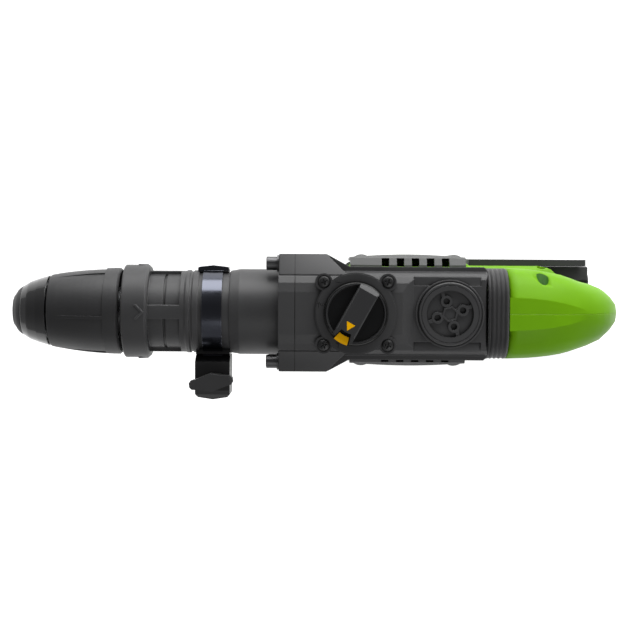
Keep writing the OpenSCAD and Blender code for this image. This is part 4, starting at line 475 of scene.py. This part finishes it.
def done(piece, material, angle=35.0):
    """Leaves edit mode with outward faces, smooth shading and a finish."""
    bpy.ops.mesh.select_all(action="SELECT")
    bpy.ops.mesh.remove_doubles(threshold=0.002 * MM)
    bpy.ops.mesh.normals_make_consistent(inside=False)
    bpy.ops.object.mode_set(mode="OBJECT")
    bpy.ops.object.shade_smooth_by_angle(angle=math.radians(angle))
    piece.data.materials.append(material)
    return piece


print("start, bar and done ready")


# %% [markdown]
# ## Tools for edits
# An operator acts on what is selected, so the points to move are chosen by a test on their
# place. A CAD node's mesh is loose triangles and stays as it is. Where a part needs smoother
# shading or a finer form, a copy of it is merged first and stands in for it.

# %% Drawing out, selecting and copying
def draw_out(step, about, y_scale, z_scale):
    """Extrudes the selected outline by a step along X and scales it about a point."""
    bpy.ops.mesh.extrude_region_move(TRANSFORM_OT_translate={"value": (step, 0, 0)})
    bpy.ops.transform.resize(value=(1, y_scale, z_scale), center_override=about)


def select_points(piece, test):
    """Selects the points that pass a test and nothing else, in edit mode."""
    bpy.ops.mesh.select_all(action="DESELECT")
    bpy.ops.object.mode_set(mode="OBJECT")
    for point in piece.data.vertices:
        point.select = test(point)
    bpy.ops.object.mode_set(mode="EDIT")


def merged_copy(node, ending, merge_mm):
    """A copy of a CAD node with its triangles joined, in edit mode, all selected."""
    piece = frame["nodes"][node].copy()
    piece.data = piece.data.copy()
    piece.name = node + ending
    bpy.context.scene.collection.objects.link(piece)
    bpy.ops.object.select_all(action="DESELECT")
    piece.select_set(True)
    bpy.context.view_layer.objects.active = piece
    bpy.ops.object.mode_set(mode="EDIT")
    bpy.ops.mesh.select_all(action="SELECT")
    bpy.ops.mesh.remove_doubles(threshold=merge_mm * MM)
    return piece


print("editing tools ready")

# %% [markdown]
# ## The dust cap
# A rubber cap keeps grit out of the chuck: a lip at the bore, a full shoulder and a soft
# back edge. A spun outline would give the same shape. Here one circle is drawn out ring by
# ring and closed onto itself, so each ring can be read as a place and a radius. It sits just
# inside the solid that it replaces.

# %% Dust cap
MOUTH, LEDGE = 9.7, 15.7  # radius of the opening, and of the step that holds the cap on
cap_low, cap_high = (Vector(corner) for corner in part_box("dust_cap"))
cap_back, cap_front, cap_radius = cap_low.x / MM, cap_high.x / MM, cap_high.z / MM
rings = [  # x and radius in mm: over the lip, down the shoulder, round the back and inside
    (cap_front - 1.2, MOUTH), (cap_front - 0.3, 10.0), (cap_front, 10.5), (cap_front, 11.0),
    (cap_front - 0.3, 11.6), (cap_front - 0.9, 12.1), (cap_front - 1.7, 13.4),
    (cap_front - 2.9, 15.3), (cap_front - 4.4, 16.8), (cap_front - 5.6, cap_radius - 0.45),
    (cap_back + 0.4, cap_radius - 0.05), (cap_back, cap_radius - 0.3), (cap_back, LEDGE + 0.1),
    (-2.9, LEDGE), (0.4, 12.9), (0.5, MOUTH)]
dust_cap = start(bpy.ops.mesh.primitive_circle_add, "dust_cap_rubber", vertices=96,
                 radius=rings[0][1] * MM, location=(rings[0][0] * MM, 0, 0),
                 rotation=(0, math.pi / 2, 0))
for (x, radius), (next_x, next_radius) in zip(rings, rings[1:] + rings[:1]):
    growth = next_radius / radius
    draw_out((next_x - x) * MM, (next_x * MM, 0, 0), growth, growth)
done(dust_cap, nitrile)
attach(dust_cap, "spindle")
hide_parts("dust_cap")
print("dust cap faces:", len(dust_cap.data.polygons))

# %% [markdown]
# ## The bellows: its outline
# The sleeve between the housing and the sprung handle is a rounded rectangle. The outline
# starts as a plane with its corners bevelled, the upper two much wider, as the handle behind
# them is. Its face goes, and a ring of edges is left to be drawn out.

# %% Bellows outline
LOWER_CORNER, UPPER_CORNER = 7 * MM, 21 * MM
bellows_low, bellows_high = (Vector(corner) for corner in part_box("bellows"))
bellows_mid = (bellows_low + bellows_high) / 2
half_y, half_z = (bellows_high.y - bellows_low.y) / 2, (bellows_high.z - bellows_low.z) / 2
front_middle = (bellows_high.x, 0, bellows_mid.z)
bellows = start(bpy.ops.mesh.primitive_plane_add, "bellows_rubber", size=1.0,
                location=front_middle, rotation=(0, math.pi / 2, 0))
bpy.ops.transform.resize(value=(1, 2 * half_y, 2 * half_z), center_override=front_middle)
for side, reach in ((-1, LOWER_CORNER), (1, UPPER_CORNER)):
    select_points(bellows, lambda point: (
        side * (point.co.z - bellows_mid.z) > half_z - 0.1 * MM
        and abs(point.co.y) > half_y - 0.1 * MM))
    bpy.ops.mesh.bevel(offset=reach, segments=7, affect="VERTICES")
bpy.ops.mesh.select_all(action="SELECT")
bpy.ops.mesh.delete(type="ONLY_FACE")
bpy.ops.mesh.select_all(action="SELECT")
print("bellows outline mm:", round(2 * half_y / MM, 1), "x", round(2 * half_z / MM, 1))

# %% [markdown]
# ## The bellows: its folds
# Behind a flat flange lie four rounded folds. A modifier could wave a tube, but drawing the
# ring out in steps lets the flange and the folds differ. The sheet gets its thickness
# inward. On the real tool it closes up as the handle springs forward; here it keeps the
# shape it is drawn in.

# %% Bellows folds
FOLDS = 4
length = bellows_high.x - bellows_low.x
fold = 0.84 * length / FOLDS
# Each step: how far back it goes, and how deep the outline then lies below the flange's edge
steps = [(0.07 * length, 0.0), (0.02 * length, 2.6 * MM), (0.05 * length, 2.8 * MM)]
for _ in range(FOLDS):
    steps += [(0.12 * fold, 1.4 * MM), (0.13 * fold, 0.5 * MM), (0.25 * fold, 0.1 * MM),
              (0.25 * fold, 0.5 * MM), (0.13 * fold, 1.4 * MM), (0.12 * fold, 2.8 * MM)]
steps[-1] = (0.12 * fold, 0.6 * MM)  # the last fold ends high, against the handle
x, inset = bellows_high.x, 0.0
for step, next_inset in steps:
    x -= step
    draw_out(-step, (x, 0, bellows_mid.z), (half_y - next_inset) / (half_y - inset),
             (half_z - next_inset) / (half_z - inset))
    inset = next_inset
done(bellows, nitrile, 50.0)
sheet = bellows.modifiers.new("thickness", "SOLIDIFY")
sheet.thickness = 1.2 * MM
sheet.offset = -1.0
bpy.ops.object.modifier_apply(modifier="thickness")
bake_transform(bellows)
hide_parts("bellows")
print("bellows back end mm:", round(x / MM, 1), "solid's:", round(bellows_low.x / MM, 1))


# %% [markdown]
# ## The handle's arm
# The handle's upper arm swells and thins as the hand needs it, and the flat along its top
# narrows to the rear and ends in a point. The solids have a plainer loft. It could be drawn
# anew, but the holes and ribs inside are right already, so the shells' points are drawn in
# instead: the two edges of the flat station by station, then the whole arm by a smooth table
# of widths, half as much at the left.

# %% Widths along the arm
# How far behind the handle's front, in mm, and the share of the width that is left there
flat_widths = [(0, 1.0), (6.9, 0.98), (16, 0.96), (24.9, 0.91), (34, 0.84), (43.2, 0.72),
               (52, 0.54), (59.8, 0.32), (66.8, 0.5), (73.1, 0.75)]
arm_widths = [(0, 1.0), (18, 1.0), (25, 0.985), (39, 0.955), (46, 0.915), (53, 0.865),
              (60, 0.85), (68, 0.875), (80, 0.93), (95, 1.0)]
EDGE_FROM, EDGE_TO = 8.8 * MM, 12.4 * MM  # where the flat's edges lie, from the joint
ARM_FOOT, ARM_BLEND = -60.0, 30.0         # the arm's lower end in z, and how it fades in, mm


def narrow_flat(shell, front_x):
    """Draws in the points on the edges of the flat, at each station of the loft."""
    for behind, share in flat_widths:
        select_points(shell, lambda point: (
            abs(point.co.x - front_x + behind * MM) < 0.4 * MM and point.normal.z > 0.5
            and EDGE_FROM < abs(point.co.y) < EDGE_TO))
        bpy.ops.transform.resize(value=(1, share, 1), center_override=(0, 0, 0))


def slim_arm(shell, front_x):
    """Scales the arm's width by the table, fully at the right and half as much at the left."""
    for point in shell.data.vertices:
        behind, width = (front_x - point.co.x) / MM, 1.0
        for (begin, share), (end, next_share) in zip(arm_widths, arm_widths[1:]):
            if begin <= behind < end:
                width = share + (next_share - share) * (behind - begin) / (end - begin)
        in_arm = min(max((point.co.z / MM - ARM_FOOT) / ARM_BLEND, 0.0), 1.0)
        slimming = 0.5 if point.co.y > 0 else 1.0
        point.co.y *= 1 - in_arm * slimming * (1 - width)


print("the arm is slimmest mm behind the front:", min(arm_widths, key=lambda row: row[1])[0])


# %% [markdown]
# ## The handle's smooth shells
# A mould shows no facets where the loft has them. A copy of each shell is shaded smooth
# wherever two faces meet at less than 35 degrees, the edges of the flat are marked sharp,
# and the facets at the very front stay flat, as they meet the bellows square.

# %% Handle shells
def sharpen_flat(shell, front_x):
    """Marks the long edges of the flat as sharp, and shades its front end flat."""
    ends = [[shell.data.vertices[i] for i in edge.vertices] for edge in shell.data.edges]
    for edge, (a, b) in zip(shell.data.edges, ends):
        on_top = min(a.co.z, b.co.z) > 20 * MM and min(a.normal.z, b.normal.z) > 0.5
        sides = sorted((abs(a.co.y), abs(b.co.y)))
        if on_top and sides[0] > 2 * MM and sides[1] < EDGE_TO and abs(a.co.x - b.co.x) > 3 * MM:
            edge.use_edge_sharp = True
    for face in shell.data.polygons:
        if face.normal.z > 0.95 and face.center.x > front_x - flat_widths[1][0] * MM:
            face.use_smooth = False


for node in ("handle_shell_left", "handle_shell_right"):
    shell = merged_copy(node, "_smooth", 0.005)
    bpy.ops.mesh.normals_make_consistent(inside=False)
    bpy.ops.mesh.select_mode(type="VERT")
    front_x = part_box(node)[1][0]
    narrow_flat(shell, front_x)
    bpy.ops.object.mode_set(mode="OBJECT")
    slim_arm(shell, front_x)
    bpy.ops.object.shade_smooth_by_angle(angle=math.radians(35))
    sharpen_flat(shell, front_x)
    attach(shell, "handle")
    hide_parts(node)
    print(shell.name, "faces:", len(shell.data.polygons))

# %% [markdown]
# ## The springs
# The sleeve's spring and the two springs behind the housing are pressed together by the part
# that moves. A rigid copy would poke through what presses it. Here each is still a rigid
# copy: joined, shaded smooth and carried by the body it stands on.

# %% Springs
# Node, the body it stands on, the joint that presses it, which end of its box stands still
# (0 the rear, 1 the front), and the share of its length that is left at the joint's limit
springs = [("sleeve_spring", "spindle", "sleeve_slide", 0, 0.58),
           ("handle_springs", "housing", "handle_tilt", 1, 0.67)]
for node, body, joint, still_end, keep in springs:
    coil = merged_copy(node, "_coil", 0.002)
    bpy.ops.object.mode_set(mode="OBJECT")
    bpy.ops.object.shade_smooth_by_angle(angle=math.radians(40))
    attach(coil, body)
    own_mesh(coil)
    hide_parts(node)
    print(coil.name, "faces:", len(coil.data.polygons))

# %% [markdown]
# ## The clamp's rubbing pads
# The clamp's block and the pad across from it reach round the barrel with curved rubbing
# pads, so no daylight shows between them. A bar could be bent to that curve. A small
# rectangle spun about the spindle's axis lies on it from the start.

# %% Clamp pads
PAD_INNER = 29.9 * MM  # the radius of their inner face, round the spindle's axis
block_low, block_high = (Vector(corner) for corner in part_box("clamp_block"))
pad_mid = (block_low.x + block_high.x) / 2
# Name, side of the barrel, length along it, outer radius, degrees to either side
clamp_pads = [("clamp_saddle", 1, block_high.x - block_low.x - 0.6 * MM, 33.6 * MM, 23),
              ("clamp_rest", -1, 22.4 * MM, 33.2 * MM, 15)]
for name, side, long, outer, degrees in clamp_pads:
    swing = math.radians(degrees)
    centre = (pad_mid, side * (PAD_INNER + outer) / 2, 0)
    pad = start(bpy.ops.mesh.primitive_plane_add, name, size=1.0, location=centre)
    bpy.ops.transform.resize(value=(long, outer - PAD_INNER, 1), center_override=centre)
    bpy.ops.transform.rotate(value=-swing, orient_axis="X", center_override=(pad_mid, 0, 0))
    bpy.ops.mesh.spin(steps=18, angle=2 * swing, center=(pad_mid, 0, 0), axis=(1, 0, 0))
    done(pad, black_nylon)
    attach(pad, "clamp")
    heights = [point.co.z / MM for point in pad.data.vertices]
    print(name, "from z mm", round(min(heights), 1), "to", round(max(heights), 1))

# %% [markdown]
# ## The battery's shoulder
# Over the battery's right edge lies a straight moulded ridge that squares off its round
# corner. It is one bar with its edges bevelled, and it rides on the battery.

# %% Battery shoulder
RIDGE_LENGTH, RIDGE_WIDTH, RIDGE_DROP = 70 * MM, 12 * MM, 17 * MM
battery_low = Vector(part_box("battery_case")[0])
guard_low = Vector(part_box("bumper_right")[0])
ridge_low = Vector((battery_low.x + 4.0 * MM, battery_low.y - 0.1 * MM,
                    guard_low.z - RIDGE_DROP))
ridge_high = Vector((battery_low.x + 4.0 * MM + RIDGE_LENGTH, battery_low.y + RIDGE_WIDTH,
                     guard_low.z - 0.4 * MM))
ridge = bar("battery_shoulder", (ridge_low + ridge_high) / 2, ridge_high - ridge_low)
bpy.ops.mesh.bevel(offset=1.2 * MM, segments=4, affect="EDGES")
done(ridge, overmould)
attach(ridge, "battery")
print("shoulder mm:", [round(v / MM, 1) for v in ridge_low],
      [round(v / MM, 1) for v in ridge_high])

# %% [markdown]
# ## The pads beside the crank cap
# Cast pads raise the two lowered shelves beside the crank chamber, the right one almost to
# the casting behind it and the left one less. Each is one bar with its edges bevelled, which
# lets its depth be set by itself.

# %% Cast pads
SHELF_FLOOR = 6.9  # how far the shelves lie below the housing's top, in mm
house_low, house_high = (Vector(corner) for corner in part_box("gear_housing"))
for name, side, depth in (("cast_pad_right", -1, 3.7), ("cast_pad_left", 1, 4.6)):
    size = Vector((48.8, 6.7, SHELF_FLOOR - depth)) * MM
    spot = Vector((house_low.x + 29.25 * MM, side * 23.7 * MM,
                   house_high.z - depth * MM - size.z / 2))
    pad = bar(name, spot, size)
    bpy.ops.mesh.bevel(offset=0.5 * MM, segments=3, affect="EDGES")
    done(pad, powder_coat)
    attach(pad, "housing")
    print(name, "top z mm:", round((spot.z + size.z / 2) / MM, 1))

# %% [markdown]
# ## The slopes of the bolt ears
# The casting falls away from the round top to the edge of the bolt ears in one slope, which
# catches the light on the right side. A cut through the ears' solid would need a boolean. It
# is easier to lay a bar on, lower its outer upper edge, and cut its rear end off along the
# ear's taper.

# %% Ear slopes
SLOPE_FALL = 6.4 * MM  # how much lower the slope is at the ear's edge
slope_inner, ear_edge = house_high.y - 15.5 * MM, house_high.y - 0.1 * MM
slope_foot, slope_top = house_high.z - 13.5 * MM, house_high.z - 5.5 * MM
taper_end_x, taper_run = seam_x - 23 * MM, 17 * MM
for name, side in (("ear_slope_right", -1), ("ear_slope_left", 1)):
    inner_low = Vector((taper_end_x - taper_run, side * slope_inner, slope_foot))
    outer_high = Vector((seam_x + 11.7 * MM, side * ear_edge, slope_top))
    slope = bar(name, (inner_low + outer_high) / 2, [abs(v) for v in outer_high - inner_low])
    select_points(slope, lambda point: (
        abs(point.co.y) > ear_edge - 0.1 * MM and point.co.z > slope_top - 0.5 * MM))
    bpy.ops.transform.translate(value=(0, 0, -SLOPE_FALL))
    bpy.ops.mesh.select_all(action="SELECT")
    bpy.ops.mesh.bisect(plane_co=(taper_end_x, side * house_high.y, 0),
                        plane_no=(-9, side * 16.5, 0), clear_outer=True, use_fill=True)
    bpy.ops.mesh.select_all(action="SELECT")
    bpy.ops.mesh.bevel(offset=0.5 * MM, segments=2, affect="EDGES")
    done(slope, powder_coat, 20.0)
    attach(slope, "housing")
    print(name, "faces:", len(slope.data.polygons))

# %% [markdown]
# ## The selector's signs
# Three printed signs stand round the knob: a drill for plain drilling, a hammer for
# chiselling, and both for hammer drilling. They are plain workshop signs. Ink is too thin
# to model truly, and a drawn image would need one, so each sign is made of thin bars, a
# tenth of a millimetre high.

# %% Selector signs
INK_HEIGHT, SIGN_RADIUS = 0.1 * MM, 26.0 * MM
plate_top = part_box("selector_plate")[1][2]
# Dense black printing ink, nearly flat: only its grain shows
ink = finish("printed_black_marking_ink", "#0b0b0c", "#141415",
             roughness=0.45, grain_mm=0.3, grain_depth=0.002)
# Each stroke: the place of its middle, its length and width in mm, and its turn in degrees
drill = [(0, 0, 4.6, 0.5, 0), (0.9, 0.5, 1.6, 0.45, 60), (-0.4, 0.5, 1.6, 0.45, 60),
         (-1.7, 0.5, 1.6, 0.45, 60)]
hammer = [(0, -0.4, 0.6, 3.4, 0), (0, 1.5, 3.4, 1.2, 0)]
drill_beside = [(u + 1.6, v, 0.6 * long, wide, turn) for u, v, long, wide, turn in drill]
hammer_drill = [(-1.7, -0.4, 0.55, 3.2, 0), (-1.7, 1.4, 2.2, 1.0, 0)] + drill_beside
for name, degrees, strokes in (("drill", 119, drill), ("both", 166, hammer_drill),
                               ("hammer", 241, hammer)):
    angle = math.radians(180 + degrees)
    centre = Vector((knob_axis.x + SIGN_RADIUS * math.cos(angle),
                     SIGN_RADIUS * math.sin(angle), plate_top))
    sign = start(bpy.ops.mesh.primitive_circle_add, "selector_sign_" + name, vertices=16,
                 radius=0.3 * MM, fill_type="NGON", location=centre)
    bpy.ops.mesh.extrude_region_move(TRANSFORM_OT_translate={"value": (0, 0, INK_HEIGHT)})
    for u, v, long, wide, turn in strokes:
        spot = centre + Vector((-u * MM, -v * MM, INK_HEIGHT / 2))
        bpy.ops.mesh.select_all(action="DESELECT")
        bpy.ops.mesh.primitive_cube_add(size=1.0, location=spot)
        bpy.ops.transform.resize(value=(long * MM, wide * MM, INK_HEIGHT), center_override=spot)
        bpy.ops.transform.rotate(value=math.radians(turn), orient_axis="Z", center_override=spot)
    done(sign, ink)
    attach(sign, "housing")
print("signs at z mm:", round(plate_top / MM, 1))

# %% [markdown]
# ## The floor
# The floor is plain and pale, and the tool stands on it. It could be lit until it turns
# white, but that would wash out the tool. So it glows, and only for the camera and for
# mirror images. That makes it white behind the tool and still lets it hold a shadow.

# %% Floor
FLOOR_GLOW = 0.86
low, high = (Vector(corner) for corner in cad_box)
middle = (low + high) / 2
bpy.ops.object.select_all(action="DESELECT")
bpy.ops.mesh.primitive_plane_add(size=8.0, location=(middle.x, middle.y, low.z))
floor = bpy.context.object
floor.name = "floor"
bpy.ops.object.transform_apply(location=True)

# Matt emulsion rolled onto a board: a soft, faintly speckled white
paint = bpy.data.materials.new("matt_white_floor_paint")
paint.use_nodes = True
tree = paint.node_tree
tree.nodes.remove(tree.nodes["Principled BSDF"])
spot = add(paint, "TexCoord", {}).outputs["Object"]
speckle = add(paint, "TexNoise", {"Scale": 1 / (2.0 * MM)}, {"Vector": spot})
texture = add(paint, "Bump", {"Strength": 0.1, "Distance": 0.1 * MM},
              {"Height": speckle.outputs["Fac"]})
matt = add(paint, "BsdfDiffuse", {"Color": (0.62, 0.62, 0.62, 1.0)},
           {"Normal": texture.outputs["Normal"]})
ray = add(paint, "LightPath", {})
seen = add(paint, "Math", {"operation": "MAXIMUM"},
           {0: ray.outputs["Is Camera Ray"], 1: ray.outputs["Is Glossy Ray"]})
shown = add(paint, "Math", {"operation": "MAXIMUM"},
            {0: seen.outputs["Value"], 1: ray.outputs["Is Transmission Ray"]})
strength = add(paint, "Math", {"operation": "MULTIPLY", 1: FLOOR_GLOW},
               {0: shown.outputs["Value"]})
glow = add(paint, "Emission", {"Color": (1.0, 1.0, 1.0, 1.0)},
           {"Strength": strength.outputs["Value"]})
surface = add(paint, "AddShader", {}, {0: matt.outputs["BSDF"], 1: glow.outputs["Emission"]})
tree.links.new(surface.outputs["Shader"], tree.nodes["Material Output"].inputs["Surface"])
floor.data.materials.append(paint)
print("floor at z mm:", round(low.z / MM, 1))


# %% [markdown]
# ## The studio's light
# The tool is looked at from straight above, so its long shape is drawn by light that comes
# from the side. A wide soft box stands low on the tool's right, about level with the
# spindle, and rakes over every rounded surface. A dimmer one hangs high on the left, beyond
# the nose, and fills the shadows. The sky is darkest overhead, so flat tops mirror little
# and keep their colour.

# %% Lamps
def soft_lamp(name, place, aim, width, height, watts):
    """A rectangular soft lamp that faces a point."""
    light = bpy.data.lights.new(name, "AREA")
    light.shape = "RECTANGLE"
    light.size = width
    light.size_y = height
    light.energy = watts
    lamp = bpy.data.objects.new(name, light)
    bpy.context.scene.collection.objects.link(lamp)
    lamp.location = place
    lamp.rotation_euler = (Vector(aim) - Vector(place)).to_track_quat("-Z", "Y").to_euler()
    return lamp


soft_lamp("lamp_right", middle + Vector((-0.28, -1.05, 0.36)), middle + Vector((-0.05, 0, 0.1)),
          width=1.5, height=0.75, watts=20.8)
soft_lamp("lamp_left", middle + Vector((-0.40, 0.65, 1.0)), middle + Vector((-0.10, 0, 0)),
          width=0.9, height=0.8, watts=4.2)
print("two soft lamps")

# %% [markdown]
# ## The sky
# A world of one strength would flatten every shade. This one is bright low down and dim
# overhead, by the height of the direction that a ray takes.

# %% World
world = bpy.data.worlds.new("studio")
bpy.context.scene.world = world
world.use_nodes = True
direction = add(world, "TexCoord", {}).outputs["Generated"]
upward = add(world, "SeparateXYZ", {}, {"Vector": direction})
sky = add(world, "MapRange", {"From Min": 0.25, "From Max": 0.95, "To Min": 0.50, "To Max": 0.16},
          {"Value": upward.outputs["Z"]})
background = world.node_tree.nodes["Background"]
background.inputs["Color"].default_value = (0.83, 0.83, 0.84, 1.0)
world.node_tree.links.new(sky.outputs["Result"], background.inputs["Strength"])
bpy.context.scene.view_settings.view_transform = "Standard"
print("the sky's strength falls from 0.50 to 0.16")

# %% [markdown]
# ## The camera
# It hangs about a metre over the spindle, a little to the tool's right, and looks down on
# the spindle's middle through an 80 mm lens. The long lens keeps the deep tool from
# spreading: with a short one the base would shrink away under the housing. The nose points
# to the left of the frame, so the picture's up is the tool's right side.

# %% Camera
CAMERA_HEIGHT, ROLL_DEGREES = 1.05, 0.35
spindle_middle_x = middle.x + 9.35 * MM
lens = bpy.data.cameras.new("camera")
lens.lens = 80.2
lens.sensor_width = 36.0
camera = bpy.data.objects.new("camera", lens)
bpy.context.scene.collection.objects.link(camera)
camera_place = Vector((spindle_middle_x, -27 * MM, CAMERA_HEIGHT))
aim = Vector((spindle_middle_x, 2.3 * MM, 0.0))
ahead = (aim - camera_place).normalized()
right = ahead.cross(Vector((0, -1, 0))).normalized()
up = right.cross(ahead)
facing = Matrix((right, up, -ahead)).transposed()
roll = Matrix.Rotation(math.radians(ROLL_DEGREES), 4, "Z")
camera.matrix_world = Matrix.Translation(camera_place) @ facing.to_4x4() @ roll
bpy.context.scene.camera = camera
print("camera mm:", [round(v / MM, 1) for v in camera_place])
